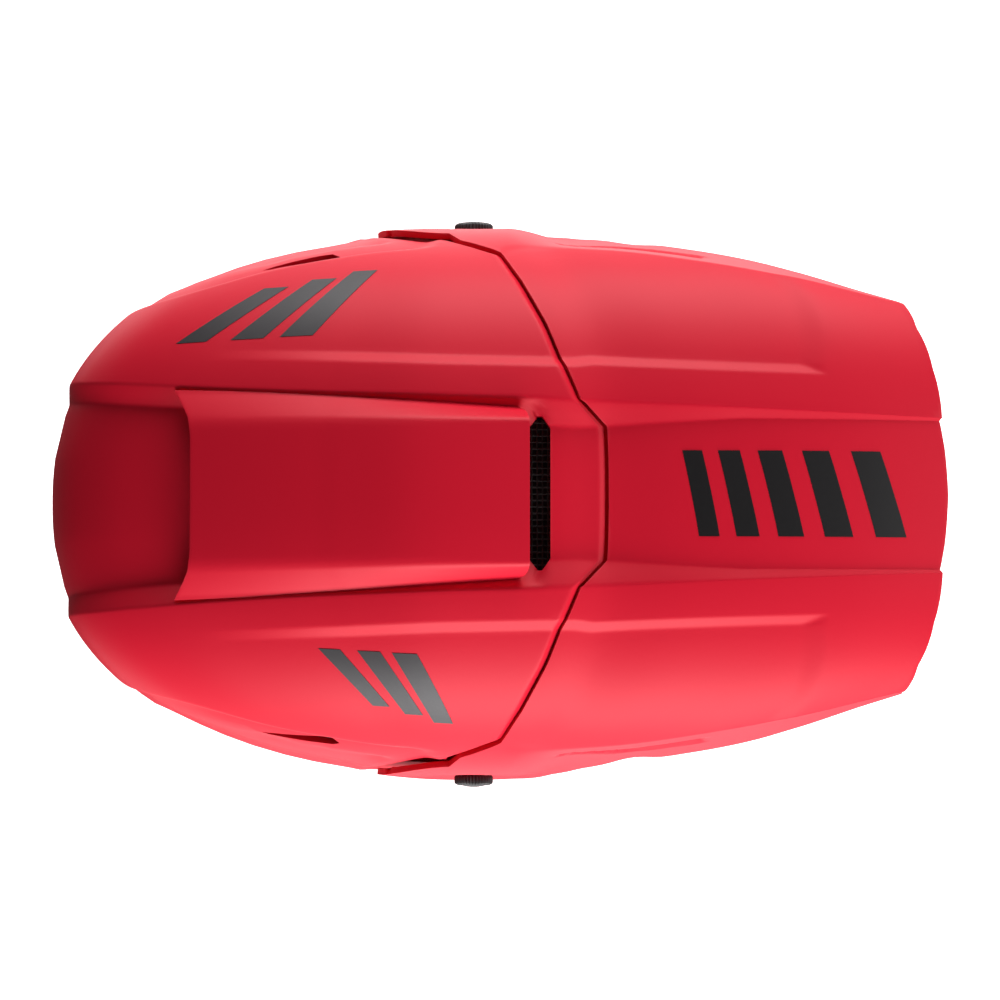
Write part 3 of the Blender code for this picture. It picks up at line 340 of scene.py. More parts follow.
def shell_shares(angle):
    """Lanes across half of the shell, close together where the styling turns."""
    crest, foot = float(curve_through(CREST, angle)), float(straight_through(FOOT, angle))
    edge, panel = float(straight_through(DECK_EDGE, angle)), float(curve_through(PANEL, angle))
    wall = crest - foot
    lanes = [0, 0.04, 0.08, 0.12, 0.16, foot - 0.04, foot - 0.018]
    lanes += [foot + wall * q for q in (-0.12, -0.05, 0.03, 0.12, 0.37, 0.63, 0.88, 0.97, 1.05, 1.12)]
    lanes += [crest + 0.022 + (edge - crest - 0.034) * q for q in (0, 0.33, 0.66, 1)]
    lanes += [edge + q for q in (-0.006, 0, 0.006, 0.015, 0.024, 0.030, 0.036, 0.042)]
    rings = (0.054, 0.0505, 0.0475, 0.0455, 0.0447, 0.0440, 0.0436, 0.0434, 0.0430, 0.0427)
    rings += (0.040, 0.034, 0.027, 0.019, 0.011, 0.006)
    outer = np.full(len(rings), 0.97)
    for _ in range(6):
        outer = share_where(seam_turn(np.full(len(rings), float(angle)), outer), np.array(rings))
    panel = min(panel, float(outer[0]) - 0.034)
    lanes += [edge + 0.055 + (panel - edge - 0.068) * q / 13 for q in range(14)]
    lanes += [panel + q for q in (-0.004, 0.0, 0.005, 0.011, 0.016, 0.020)]
    gap = float(outer[0]) - panel - 0.020
    lanes += [panel + 0.020 + gap * q for q in (0.10, 0.22, 0.35, 0.49, 0.62, 0.74, 0.85, 0.93)]
    return lanes + [float(v) for v in outer]


near_seam = [-3.0, -1.9, -1.1, -0.5, -0.30, -0.20, -0.10, 0.0, 0.10, 0.30, 0.60, 0.90, 1.10, 1.30]
near_seam += [1.7, 2.3, 3.1]
STATIONS = [SEAM_ANGLE + q for q in near_seam] + [float(a) for a in np.arange(64, 72, 1.0)]
STATIONS += [72, 72.8, 73.2, 73.6, 74.0, 74.4, 75, 76] + [float(a) for a in np.arange(77.5, 196, 1.35)]
STATIONS += [float(a) for a in np.arange(197, 360, 2.4)] + [float(a) for a in np.arange(2, 55.5, 1.7)]


def shell_form(name, grow=0.0):
    skin = skin_round(lambda a, s: shell_surface(seam_turn(a, s), s, grow), STATIONS, shell_shares,
                      HALF_WIDTH - RECESS + grow)
    return piece(name, *skin, body=None)


def inside_form(name, depth=0.0, step=4):
    """The smooth hollow inside the shell, or a body a given depth further in."""
    side = HALF_WIDTH - RECESS - SHELL_WALL - depth
    shares = [0, 0.06, 0.12, 0.18, 0.24, 0.3, 0.36, 0.43, 0.5, 0.57, 0.64, 0.7, 0.76, 0.81, 0.86, 0.9]
    shares += [0.93, 0.955, 0.975, 0.988, 0.996, 0.9992]

    def point(angle, share):
        k = np.where(angle < 200, 1 - ease((angle - 66) / 30), chin_share(angle))
        k = np.where(angle > PORT_TURN, 1.0, k)
        duct = ease((angle - 30) / 30) * (1 - ease((angle - 150) / 35))
        duct = duct * 2.1 * CHANNEL_DEPTH * (1 - ease((np.abs(share) - 0.24) / 0.26))
        drop = SHELL_WALL + depth + duct
        outer = on_form(angle, share, drop, styled=False)
        brow = on_form(angle, share, drop + RECESS, under=True, styled=False)
        mixed = outer * (1 - k)[..., None] + brow * k[..., None]
        mixed[..., 0] = share * side
        return mixed

    return piece(name, *skin_round(point, range(0, 360, step), lambda a: shares, side), body=None)


def port_cut(name, grow=0.0):
    """The eye port's side outline."""
    top, low = PORT_TOP + grow, PORT_TOP - PORT_HEIGHT - grow
    back = 0.036 - grow
    corners = [(0.30, top + 0.030), (0.115, top + 0.004), (0.092, top), (0.064, top - 0.003)]
    corners += [(back + 0.011, top - 0.010), (back + 0.003, top - 0.024), (back, top - 0.046)]
    corners += [(back + 0.001, low + 0.030), (back + 0.006, low + 0.014), (back + 0.018, low + 0.004)]
    corners += [(0.080, low - 0.001), (0.120, low - 0.012), (0.155, low - 0.022), (0.30, low - 0.062)]
    outline = [corners[0]]
    for i in range(1, len(corners) - 2):
        a, b, c, d = (np.array(corners[k]) for k in (i - 1, i, i + 1, i + 2))
        for t in np.linspace(0, 1, 6, endpoint=False):
            m0, m1 = (c - a) / 2, (d - b) / 2
            if i < 2 or i > len(corners) - 4:
                m0 = m1 = c - b
            p = (2 * t**3 - 3 * t**2 + 1) * b + (t**3 - 2 * t**2 + t) * m0
            p = p + (3 * t**2 - 2 * t**3) * c + (t**3 - t**2) * m1
            outline.append(tuple(p))
    return side_cut(name, outline + corners[-2:])


def block(name, centre, out, along, size, look=None, body=None, corner=0.0):
    """A block of size (along, across, through), its upright corners rounded."""
    out, along = Vector(out).normalized(), Vector(along).normalized()
    across = out.cross(along)
    a, b, r = size[0] / 2, size[1] / 2, max(corner, 1e-5)
    outline = []
    for k, (u, v) in enumerate(((1, 1), (-1, 1), (-1, -1), (1, -1))):
        for q in range(5 if corner else 1):
            turn = math.pi / 2 * (k + q / 4)
            outline.append((u * (a - r) + r * math.cos(turn), v * (b - r) + r * math.sin(turn)))
    rings = [
        [Vector(centre) + out * d + along * p + across * q for p, q in outline]
        for d in (-size[2] / 2, size[2] / 2)
    ]
    return piece(name, *loft(rings), look, body)


class Wire:
    """The output of a shader node. Sums with it add Math nodes; node() adds any other."""

    def __init__(self, tree, socket):
        self.tree, self.socket = tree, socket

    def node(self, kind, settings=(), sockets=(), out=0):
        made = self.tree.nodes.new(kind)
        for key, value in dict(settings).items():
            if key == "stops":
                ramp = made.color_ramp
                while len(ramp.elements) < len(value):
                    ramp.elements.new(0.5)
                for element, (position, shade) in zip(ramp.elements, value):
                    element.position, element.color = position, (*shade, 1)
            else:
                setattr(made, key, value)
        for key, value in dict(sockets).items():
            if isinstance(value, Wire):
                self.tree.links.new(value.socket, made.inputs[key])
            else:
                made.inputs[key].default_value = value
        return Wire(self.tree, made.outputs[out])

    def sum_with(self, kind, first, second):
        return self.node("ShaderNodeMath", {"operation": kind}, {0: first, 1: second})

    def __add__(self, other):
        return self.sum_with("ADD", self, other)

    __radd__ = __add__

    def __mul__(self, other):
        return self.sum_with("MULTIPLY", self, other)

    __rmul__ = __mul__

    def __sub__(self, other):
        return self.sum_with("SUBTRACT", self, other)

    def __rsub__(self, other):
        return self.sum_with("SUBTRACT", other, self)

    def between(self, low, high):
        """0 below low, 1 above high."""
        return self.node("ShaderNodeMapRange", {"clamp": True}, {0: self, 1: low, 2: high})

    def mix(self, first, second):
        """A colour, going from first to second with this mask."""
        return self.node("ShaderNodeMix", {"data_type": "RGBA"}, {0: self, 6: first, 7: second}, 2)

    def noise(self, scale, detail=2.0, rough=0.5):
        sockets = {"Vector": self, "Scale": scale, "Detail": detail, "Roughness": rough}
        return self.node("ShaderNodeTexNoise", (), sockets)

    def shades(self, colour, dark, light):
        """One colour, made darker and lighter by this mask."""
        first, second = (tuple(min(1, c * k) for c in colour) + (1,) for k in (dark, light))
        return self.mix(first, second)

    def bump(self, height, distance, strength=1.0):
        sockets = {"Height": height, "Distance": distance, "Strength": strength}
        return self.node("ShaderNodeBump", (), sockets)


def finish_named(name, colour, rough, metallic=0.0, coat=0.0, coat_rough=0.2, sheen=0.0,
                 specular=0.5):
    """A new finish: its material, its surface's sockets, and the wire of places on the piece."""
    made = bpy.data.materials.new(name)
    made.use_nodes = True
    made.diffuse_color = (*colour, 1)
    tree = made.node_tree
    surface = tree.nodes["Principled BSDF"].inputs
    surface["Base Color"].default_value = (*colour, 1)
    surface["Roughness"].default_value = rough
    surface["Metallic"].default_value = metallic
    surface["Coat Weight"].default_value = coat
    surface["Coat Roughness"].default_value = coat_rough
    surface["Sheen Weight"].default_value = sheen
    surface["Specular IOR Level"].default_value = specular
    places = Wire(tree, tree.nodes.new("ShaderNodeTexCoord").outputs["Object"])
    return made, surface, places


def feed(surface, **wires):
    for key, wire in wires.items():
        wire.tree.links.new(wire.socket, surface[key.replace("_", " ")])


def satin_red():
    """Two-pack red with a satin clear coat: a trace of orange peel, and sharp edges painted a little lighter
    as a painted highlight.
    """
    made, surface, places = finish_named("satin_red_paint", (0.66, 0.0055, 0.026), 0.50, coat=0.03,
                                         coat_rough=0.34, specular=0.20)
    cloud = places.noise(9, 3)
    # painted highlight: convex edges (pointiness) are mixed toward a lighter red, standing in for light caught
    # on the crests
    edge = places.node("ShaderNodeNewGeometry", out=7).between(0.515, 0.60)
    tint = cloud.mix((0.635, 0.0048, 0.023, 1), (0.690, 0.0068, 0.029, 1))
    tint = (edge * 0.22).mix(tint, (0.78, 0.06, 0.08, 1))
    peel = places.noise(520, 2)
    speck = places.noise(2600, 1)
    feed(surface, Base_Color=tint, Roughness=0.455 + cloud * 0.05 + speck * 0.03,
         Normal=places.bump(peel + speck * 0.3, 0.00006, 0.5))
    return made


PAINT = satin_red()
shell = shell_form("shell_painted")
CHIN_VENT, SIDE_VENT, SLIT = (0.050, 0.022), (0.034, 0.014), (0.032, 0.0056)


def on_surface(angle, share, drop=0.0, under=False):
    """A point of the form, its outward direction and its direction round the pivots."""
    here = Vector(on_form(angle, share, drop, under, False))
    forth = Vector(on_form(angle + 1, share, drop, under, False)) - here
    across = Vector(on_form(angle, share + 0.01, drop, under, False)) - here
    out = across.cross(forth).normalized()
    if out.dot(here - Vector((0, PIVOT_Y + 0.03, PIVOT_Z))) < 0:
        out = -out
    return here, out, forth.normalized()


def vent_places():
    here, out, _ = on_surface(325.0, 0.0, RECESS, True)
    places = [("chin_vent", here, out, Vector((1, 0, 0)), CHIN_VENT)]
    for tag, side in (("left", 1), ("right", -1)):
        here, out, _ = on_surface(319.5, side * 0.50, RECESS, True)
        level = Vector((0, 0, 1)).cross(out).normalized()
        places.append((f"chin_side_vent_{tag}", here, out, level, SIDE_VENT))
        here, out, _ = on_surface(145, side * 0.868)
        forth = on_surface(152, side * 0.835)[0] - here
        forth = (forth - out * forth.dot(out)).normalized()
        places.append((f"side_slit_{tag}", here - out * 0.001, out, forth, SLIT))
    return places


SLOT_FRONT, SLOT_REAR = 0.0308, 0.0226  # the duct's intake, ahead of the pivots


def slot_cut(name, grow=0.0):
    """The intake's six-sided outline, seen from above."""
    mid = (SLOT_FRONT + SLOT_REAR) / 2
    outline = [(0.0258 + grow, SLOT_FRONT + grow), (0.0305 + grow, mid + 0.0008)]
    outline += [(0.0305 + grow, mid - 0.0008), (0.0262 + grow, SLOT_REAR - grow)]
    outline = outline + [(-x, f) for x, f in reversed(outline)]
    rings = [[(x, PIVOT_Y - f, PIVOT_Z + z) for x, f in outline] for z in (0.076, 0.12)]
    return piece(name, *loft(rings), body=None)


lens = []
for tag, here, out, along, size in vent_places():
    if "slit" in tag:
        across = out.cross(along)
        a, b = size[0] / 2, size[1] / 2
        outline = [(-a, 0.4 * b), (-a * 0.85, b), (a * 0.8, b), (a, b * 0.8), (a * 0.7, b * 0.3)]
        outline += [(-a * 0.5, -b), (-a * 0.8, -b)]
        rings = [[here + out * d + along * p + across * q for p, q in outline] for d in (-0.012, 0.012)]
        lens.append(piece(tag + "_cut", *loft(rings), body=None))
    else:
        lens.append(block(tag + "_cut", here, out, along, (*size, 0.030), corner=0.004))
cut(shell, [inside_form("shell_hollow")])
cut(shell, [port_cut("port"), level_cut("below_rim", -0.2, 0.0032), slot_cut("intake")])
cut(shell, [rod_cut("pivot_hole", 0, 0, 0.0037)] + lens)
settle(shell, PAINT, "shell", "red_shell", ["outer_shell"], 40)

# ==== Duct cover ==============================================================================
# A separate red moulding glued over the crown's air duct. Its flanks fall to the channel's walls,
# its front edge has a small radius, and its rear lip sweeps back at both sides over the outlet.
COVER_RISE = 0.0052
COVER_FLAT, COVER_FOOT = 0.238, (0.302, 0.372)  # shares of the half width, the foot's at both ends
COVER_FRONT, COVER_LIP = 0.0226, -0.1116  # ahead of the pivots


def cover_height(angle, share, foot, t):
    wall = straight_through([(0, 0.0034), (0.35, 0.0026), (0.8, 0.0012), (1, 0.0006)], t)
    slope = facet((foot - share) / (foot - COVER_FLAT), 0.16)
    return deck_rise(angle, share) - wall + (COVER_RISE + wall) * slope


def angle_at(forward, share, foot, t):
    """The angle at which the cover's skin stands this far ahead of the pivots."""
    near, far = np.full(len(share), 60.0), np.full(len(share), 172.0)
    for _ in range(30):
        angle = (near + far) / 2
        reach = reach_at(angle, share) + cover_height(angle, share, foot, t)
        ahead = reach * np.cos(np.radians(angle)) > forward
        near, far = np.where(ahead, angle, near), np.where(ahead, far, angle)
    return angle


def cover_point(t, q):
    """t runs from the intake to the outlet; q runs across, 0 in the middle and 1 at the foot."""
    side, q = np.sign(q), np.abs(q)
    foot = COVER_FOOT[0] + (COVER_FOOT[1] - COVER_FOOT[0]) * t
    share = foot * q
    sweep = [(0.0, 0.0), (0.200, 0.0002), (0.262, 0.0013), (0.31, 0.0036), (0.372, 0.0072)]
    lip = COVER_LIP - straight_through(sweep, share)
    sweep = [(0, 0), (0.235, 0), (0.262, 0.0006), (0.285, 0.0020), (0.302, 0.0042)]
    front = COVER_FRONT - straight_through(sweep, share)
    start, end = angle_at(front, share, foot, 0 * t), angle_at(lip, share, foot, 0 * t + 1)
    angle = start + (end - start) * t
    return on_form(angle, side * share, -cover_height(angle, share, foot, t), styled=False)


run = np.concatenate([[0, 0.004, 0.010, 0.018], np.linspace(0.03, 0.97, 62), [0.985, 0.993, 1.0]])
across = [np.linspace(0, 0.70, 12), np.linspace(0.73, 0.88, 9), np.linspace(0.90, 1.0, 8)]
across = np.concatenate(across)
across = np.concatenate([-across[:0:-1], across])
grid = np.array([cover_point(np.full(len(across), t), across) for t in run])
size = len(across)
faces = [(i * size + j, i * size + j + 1, (i + 1) * size + j + 1, (i + 1) * size + j)
         for i in range(len(run) - 1) for j in range(size - 1)]
cover = piece("duct_cover_painted", grid.reshape(-1, 3), faces, body=None)


def wall_and_edge(made, thickness, radius, offset=-1):
    """A sheet given its thickness, and a small radius on its free edges."""
    wall = made.modifiers.new("wall", "SOLIDIFY")
    wall.thickness, wall.offset, wall.use_even_offset = thickness, offset, True
    edge = made.modifiers.new("edge", "BEVEL")
    edge.width, edge.segments, edge.use_clamp_overlap = radius, 3, True
    edge.limit_method, edge.angle_limit = "ANGLE", math.radians(55)
    return apply_steps(made)


wall_and_edge(cover, 0.0026, 0.0009)
settle(cover, PAINT, "shell", "red_shell", ["duct_cover"], 40)

# ==== Duct meshes =============================================================================
# Woven black screens behind the intake, the outlet and the two side slits. Each is a real
# lattice of round wires over a dark gauze, glued in from inside.


def moulded_black(name, colour, rough, grain, depth):
    made, surface, places = finish_named(name, colour, rough)
    pits, cloud = places.noise(grain, 3), places.noise(30, 2)
    feed(surface, Roughness=(rough - 0.08) + pits * 0.16, Normal=places.bump(pits, depth, 0.6),
         Base_Color=cloud.shades(colour, 0.82, 1.2))
    return made


SCREEN = moulded_black("screen_wire", (0.018, 0.016, 0.017), 0.55, 1800, 0.00005)
GAUZE = moulded_black("dark_gauze", (0.0045, 0.0040, 0.0042), 0.9, 900, 0.0001)


def round_cords(name, runs, radius, look, body, slot, nodes=(), closed=False, sides=1):
    """Round wires, threads or cords, each along a run of points."""
    lines = bpy.data.curves.new(name, "CURVE")
    lines.dimensions, lines.bevel_depth, lines.bevel_resolution = "3D", radius, sides
    lines.use_fill_caps = True
    for points in runs:
        line = lines.splines.new("POLY")
        line.points.add(len(points) - 1)
        for p, here in zip(line.points, points):
            p.co = (*here, 1)
        line.use_cyclic_u = closed
    made = bpy.data.objects.new(name, lines)
    bpy.context.scene.collection.objects.link(made)
    return settle(made, look, body, slot, nodes)


def screen(name, centre, out, along, size, node, pitch=0.0026, wire=0.00032):
    """A backing gauze and a lattice of wires that pass over and under each other."""
    out, along = Vector(out).normalized(), Vector(along).normalized()
    across = out.cross(along)
    behind = Vector(centre) - out * 0.0007
    back = block(name + "_gauze", behind, out, along, (size[0], size[1], 0.0004), GAUZE)
    settle(back, GAUZE, "shell", "vent_mesh")
    a, b = size[0] / 2, size[1] / 2
    runs = []
    for way, (long, short, one, other) in enumerate(((a, b, along, across), (b, a, across, along))):
        rows = int(2 * short / pitch)
        for r in range(rows + 1):
            at = -short + (r + 0.5) * 2 * short / (rows + 1)
            steps = max(2, int(2 * long / (pitch / 2)))
            points = []
            for s in range(steps + 1):
                along_it = -long + 2 * long * s / steps
                wave = wire * 0.9 * math.cos(math.pi * along_it / pitch + (r + way) * math.pi)
                points.append(Vector(centre) + one * along_it + other * at + out * wave)
            runs.append(points)
    round_cords(name + "_wires", runs, wire, SCREEN, "shell", "vent_mesh", [node])


middle = Vector((0, PIVOT_Y - (SLOT_FRONT + SLOT_REAR) / 2, PIVOT_Z + 0.0845))
screen("intake_screen", middle, (0, -0.10, 0.995), (1, 0, 0), (0.0590, 0.0086), "duct_intake_mesh")
low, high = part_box("duct_outlet_mesh")
turn = math.radians(138.0)
screen("outlet_screen", (low + high) / 2, (0, math.sin(turn), -math.cos(turn)), (1, 0, 0), (0.052, 0.0060),
       "duct_outlet_mesh")
for tag, here, out, along, size in vent_places():
    if "slit" in tag:
        screen(tag + "_screen", here - out * 0.0046, out, along, (size[0] + 0.001, size[1] + 0.001),
               tag + "_grille", 0.0022)

# ==== Visor ===================================================================================
# Injection-moulded red peak, 2.6 mm thick. Its roof folds down into two flanks, which run back to
# round arms on the pivots. A channel continues the shell's, and each flank has a sunk tapering slot.
VISOR_WALL, ARM_RADIUS = 0.0026, 0.0400
DRAFT = [(0.012, 0.205), (0.032, 0.172), (0.044, 0.180), (0.0565, 0.215), (0.077, 0.240), (0.17, 0.235)]


def fold_rows():
    angle = np.linspace(16, 80, 200)
    share = curve_through(FOLD, angle)
    reach = reach_at(angle, share)
    turn = np.radians(angle)
    rows = np.stack([reach * np.cos(turn), reach * np.sin(turn), share * HALF_WIDTH], -1)
    return rows[np.argsort(rows[:, 0])]


FOLD_ROWS = fold_rows()


def flank_x(forward, up):
    """Outer face of the flank and arm at a place in side view."""
    angle, reach = np.degrees(np.arctan2(up, forward)) % 360, np.hypot(forward, up)
    arm = HALF_WIDTH * share_where(angle, reach) + 0.0008
    arm = arm + 0.065 * np.maximum(0, -up) - 0.0015 * (1 - ease((reach - 0.008) / 0.02))
    fold_x = np.interp(forward, FOLD_ROWS[:, 0], FOLD_ROWS[:, 2])
    fold_up = np.interp(forward, FOLD_ROWS[:, 0], FOLD_ROWS[:, 1])
    draft = straight_through(DRAFT, forward)
    blend = ease((forward - 0.013) / 0.028)
    return arm * (1 - blend) + (fold_x + (fold_up - up) * draft) * blend


steps = [0, 0.008, 0.02, 0.035, 0.05] + list(np.arange(0.065, 0.16, 0.0125))
steps += list(np.arange(0.165, 0.33, 0.0085)) + list(np.arange(0.342, 0.95, 0.0165))
steps = np.array(steps + [0.962, 0.975, 0.985, 0.993, 1.0])
fold_angle = 18.6 + (77.2 - 18.6) * steps
roof_rows = []
for s, turn in zip(steps, fold_angle):
    fold = float(curve_through(FOLD, turn))
    angle, share = np.full(51, float(turn)), np.zeros(51)
    for _ in range(14):
        ahead = straight_through(FRONT_EDGE, share)
        behind = straight_through(SEAM, share) - 0.28
        angle = ahead + (behind - ahead) * s
        crest, foot = curve_through(CREST, angle), straight_through(FOOT, angle)
        edge = straight_through(DECK_EDGE, angle)
        wall = np.maximum(crest - foot, 0.006)
        beside = (-0.12, -0.05, 0.03, 0.12, 0.30, 0.5, 0.70, 0.88, 0.97, 1.05, 1.12)
        lanes = [0.0, 0.045, 0.09, 0.135, 0.175, foot - 0.022] + [foot + wall * q for q in beside]
        start = crest + wall * 0.12
        lanes += [start + (edge - 0.008 - start) * q for q in (0.25, 0.5, 0.75, 1)]
        lanes += [edge + q for q in (-0.003, 0.002, 0.007, 0.015, 0.023, 0.030, 0.036, 0.042)]
        start = edge + 0.042
        lanes += [start + (fold - start - 0.020) * q / 17 for q in range(1, 18)]
        lanes += [fold - q for q in (0.015, 0.010, 0.0055, 0.0022, 0)]
        share = np.array([np.broadcast_to(lane, angle.shape) for lane in lanes]).diagonal()
    roof_rows.append((angle, share))
angles, shares = (np.array([row[k] for row in roof_rows]) for k in (0, 1))
roof = on_form(angles, shares)
roof[:, 0, 0] = 0.0
lane_count = roof.shape[1]

reach = reach_at(angles[:, -1], shares[:, -1]) + deck_rise(angles[:, -1], shares[:, -1])
fold_f = reach * np.cos(np.radians(angles[:, -1]))
fold_u = reach * np.sin(np.radians(angles[:, -1]))
length = fold_f[0]
low_f, low_u = [], []
fold_077 = float(np.interp(0.077, FOLD_ROWS[:, 0], FOLD_ROWS[:, 1]))
front_keys = [(0.40, 0.031), (0.52, 0.0315), (0.62, 0.030), (0.75, 0.0235), (0.9, 0.0125), (1.0, 0.005)]
arm_keys = [(0.010, -0.0385), (0.022, -0.029), (0.034, -0.0130), (0.050, 0.011), (0.064, 0.0290)]
arm_keys += [(0.077, fold_077 - 0.031), (0.09, fold_077 - 0.0345)]
for f, u in zip(fold_f, fold_u):
    ahead = u - float(curve_through(front_keys, f / length))
    behind = float(curve_through(arm_keys, f))
    k = float(ease((f - 0.066) / 0.02))
    low_f.append(f)
    low_u.append(behind * (1 - k) + ahead * k)
top_f, top_u = list(fold_f), list(fold_u)
for k in range(1, 15):
    upper, lower = 90 + (152 - 90) * (k / 14) ** 0.9, 278 - (278 - 208) * (k / 14) ** 0.9
    top_f.append(ARM_RADIUS * math.cos(math.radians(upper)))
    top_u.append(ARM_RADIUS * math.sin(math.radians(upper)))
    low_f.append(ARM_RADIUS * math.cos(math.radians(lower)))
    low_u.append(ARM_RADIUS * math.sin(math.radians(lower)))
# from the roof's rear corner to the arm's disc the upper edge follows the shell's seam
first = len(fold_f) - 1
touch = first + 5
for i in range(first + 1, touch):
    share = 0.866 + (0.934 - 0.866) * (i - first) / (touch - first)
    turn = float(straight_through(SEAM, share)) - 0.9
    reach, turn = float(reach_at(turn, share)), math.radians(turn)
    top_f[i], top_u[i] = reach * math.cos(turn), reach * math.sin(turn)
for i in range(touch, len(top_f)):
    turn = math.radians(104 + (152 - 104) * (i - touch) / (len(top_f) - 1 - touch))
    top_f[i], top_u[i] = ARM_RADIUS * math.cos(turn), ARM_RADIUS * math.sin(turn)
down = np.array([0.012, 0.028, 0.05, 0.08] + list(np.linspace(0.115, 0.96, 26)) + [0.985, 1.0])
flank = []
for i in range(len(top_f)):
    f = top_f[i] + (low_f[i] - top_f[i]) * down
    u = top_u[i] + (low_u[i] - top_u[i]) * down
    if i > touch:
        bulge = float(ease((i - touch) / (len(top_f) - 1 - touch)))
        f = f * (1 - bulge) - np.sqrt(np.maximum(ARM_RADIUS**2 - u**2, 0)) * bulge
    x = flank_x(f, u)
    flank.append(np.stack([x, PIVOT_Y - f, PIVOT_Z + u], -1))
flank = np.array(flank)


def slot_sink(points):
    """The sunk slot on the flank: square at the front, drawn to a point at the rear."""
    f, u = PIVOT_Y - points[..., 1], points[..., 2] - PIVOT_Z
    fold_u = np.interp(f, FOLD_ROWS[:, 0], FOLD_ROWS[:, 1])
    below = fold_u - u
    t = np.clip((f - 0.030) / (0.092 - 0.030), 0, 1)
    half = 0.0036 * t**0.7
    middle = 0.0105 + 0.0015 * t
    inside = facet((half - np.abs(below - middle)) / 0.0014 + 0.4, 0.2)
    ends = facet((f - 0.030) / 0.002, 0.2) * facet((0.094 - f) / 0.0022, 0.2)
    return 0.0017 * inside * ends


flank[..., 0] -= slot_sink(flank)
verts, faces = [], []
index = {}


def keep(key, point):
    index[key] = len(verts)
    verts.append(tuple(point))


rows = len(steps)
for i in range(rows):
    for j in range(lane_count):
        for side in (1, -1) if j else (1,):
            keep((i, side * j), (side * roof[i, j, 0], roof[i, j, 1], roof[i, j, 2]))
for i in range(len(top_f)):
    for side in (1, -1):
        if i < rows:
            index[(i, "flank", side, 0)] = index[(i, side * (lane_count - 1))]
        else:
            f, u = top_f[i], top_u[i]
            keep((i, "flank", side, 0), (side * float(flank_x(f, u)), PIVOT_Y - f, PIVOT_Z + u))
        for r in range(len(down)):
            keep((i, "flank", side, r + 1), (side * flank[i, r, 0], flank[i, r, 1], flank[i, r, 2]))
last = lane_count - 1
for i in range(rows - 1):
    for j in range(-last, last):
        faces.append(tuple(index[c] for c in ((i, j), (i, j + 1), (i + 1, j + 1), (i + 1, j))))
for i in range(len(top_f) - 1):
    for r in range(len(down)):
        for side in (1, -1):
            corners = ((i, r), (i, r + 1), (i + 1, r + 1), (i + 1, r))
            faces.append(tuple(index[(a, "flank", side, b)] for a, b in corners))
# soften the fold: the lanes next to it are drawn together twice
points = np.array(verts)
for _ in range(3):
    moved = points.copy()
    for i in range(rows):
        for side in (1, -1):
            line = [index[(i, side * j)] for j in range(last - 4, last + 1)]
            line += [index[(i, "flank", side, r)] for r in range(1, 5)]
            for k in range(1, len(line) - 1):
                moved[line[k]] = points[line[k]] * 0.5 + (points[line[k - 1]] + points[line[k + 1]]) * 0.25
    points = moved
visor = piece("visor_painted", points, faces, body=None)
wall_and_edge(visor, VISOR_WALL, 0.0007)
face = float(flank_x(0.0, 0.0))
inside = face - VISOR_WALL
cut(visor, [rod_cut("arm_hole", 0, 0, 0.0036), rod_cut("arm_inside", 0, 0, 0.0100, -inside, inside)])
settle(visor, PAINT, "visor", "red_shell", ["visor"], 40)

# ==== Dark films ==============================================================================
# Thin printed films laid on the paint: three slanted bars on each side of the dome, and a run of
# slanted bars along the visor's channel. They follow the surface 0.15 mm above it.
FILM_GREY = moulded_black("grey_film", (0.026, 0.021, 0.024), 0.50, 1200, 0.00002)
FILM_BLACK = moulded_black("black_film", (0.0050, 0.0036, 0.0044), 0.46, 1200, 0.00002)


def film(name, corners, look, body, slot, lift=0.00016, cells=(26, 14)):
    """A four-cornered film on the form; corners are (angle, share), in order round it."""
    c = np.array(corners, float)
    s, t = np.meshgrid(np.linspace(0, 1, cells[0]), np.linspace(0, 1, cells[1]), indexing="ij")
    s, t = s.ravel(), t.ravel()
    where = (np.outer((1 - s) * (1 - t), np.ones(2)) * c[0] + np.outer(s * (1 - t), np.ones(2)) * c[1]
             + np.outer(s * t, np.ones(2)) * c[2] + np.outer((1 - s) * t, np.ones(2)) * c[3])
    top = on_form(where[:, 0], where[:, 1], -lift)
    n = cells[1]
    quads = [(i * n + j, i * n + j + 1, (i + 1) * n + j + 1, (i + 1) * n + j)
             for i in range(cells[0] - 1) for j in range(n - 1)]
    made = piece(name, top, quads, body=None)
    thick = made.modifiers.new("thick", "SOLIDIFY")
    thick.thickness, thick.offset = 0.0001, -1
    apply_steps(made)
    return settle(made, look, body, slot)


for side, tag, rearmost in ((1, "left", 128.0), (-1, "right", 104.0)):
    for k in range(3):
        rear, width = rearmost + 9.0 * k, 6.2 - 0.9 * k
        inner, outer = 0.560 - 0.008 * k, 0.800 - 0.030 * k
        corners = [(rear, side * inner), (rear + width, side * (inner - 0.004)),
                   (rear + width - 7.5, side * outer), (rear - 7.5, side * (outer + 0.004))]
        film(f"dome_bar_{tag}_{k + 1}", corners, FILM_GREY, "shell", "black_plastic")
for k in range(5):
    ahead, width = 24.6 + 4.6 * k, 2.6
    corners = [(ahead, -0.150), (ahead + width, -0.150)]
    corners += [(ahead + width + 2.2, 0.150), (ahead + 2.2, 0.150)]
    film(f"visor_bar_{k + 1}", corners, FILM_BLACK, "visor", "black_plastic")

# ==== Visor pivots ============================================================================
# A knurled black thumb screw on each side goes through the arm and a rubber friction washer into
# a brass insert pressed into the foam. Turned back a little, it frees the visor to tilt.
BLACK = moulded_black("black_nylon", (0.020, 0.018, 0.019), 0.48, 1500, 0.00006)


def metal(name, colour, rough, scratch=900):
    made, surface, places = finish_named(name, colour, rough, metallic=1.0)
    marks, cloud = places.noise(scratch, 4, 0.7), places.noise(60, 2)
    feed(surface, Roughness=(rough - 0.06) + marks * 0.14 + cloud * 0.05,
         Normal=places.bump(marks, 0.00002, 0.5), Base_Color=cloud.shades(colour, 0.86, 1.05))
    return made


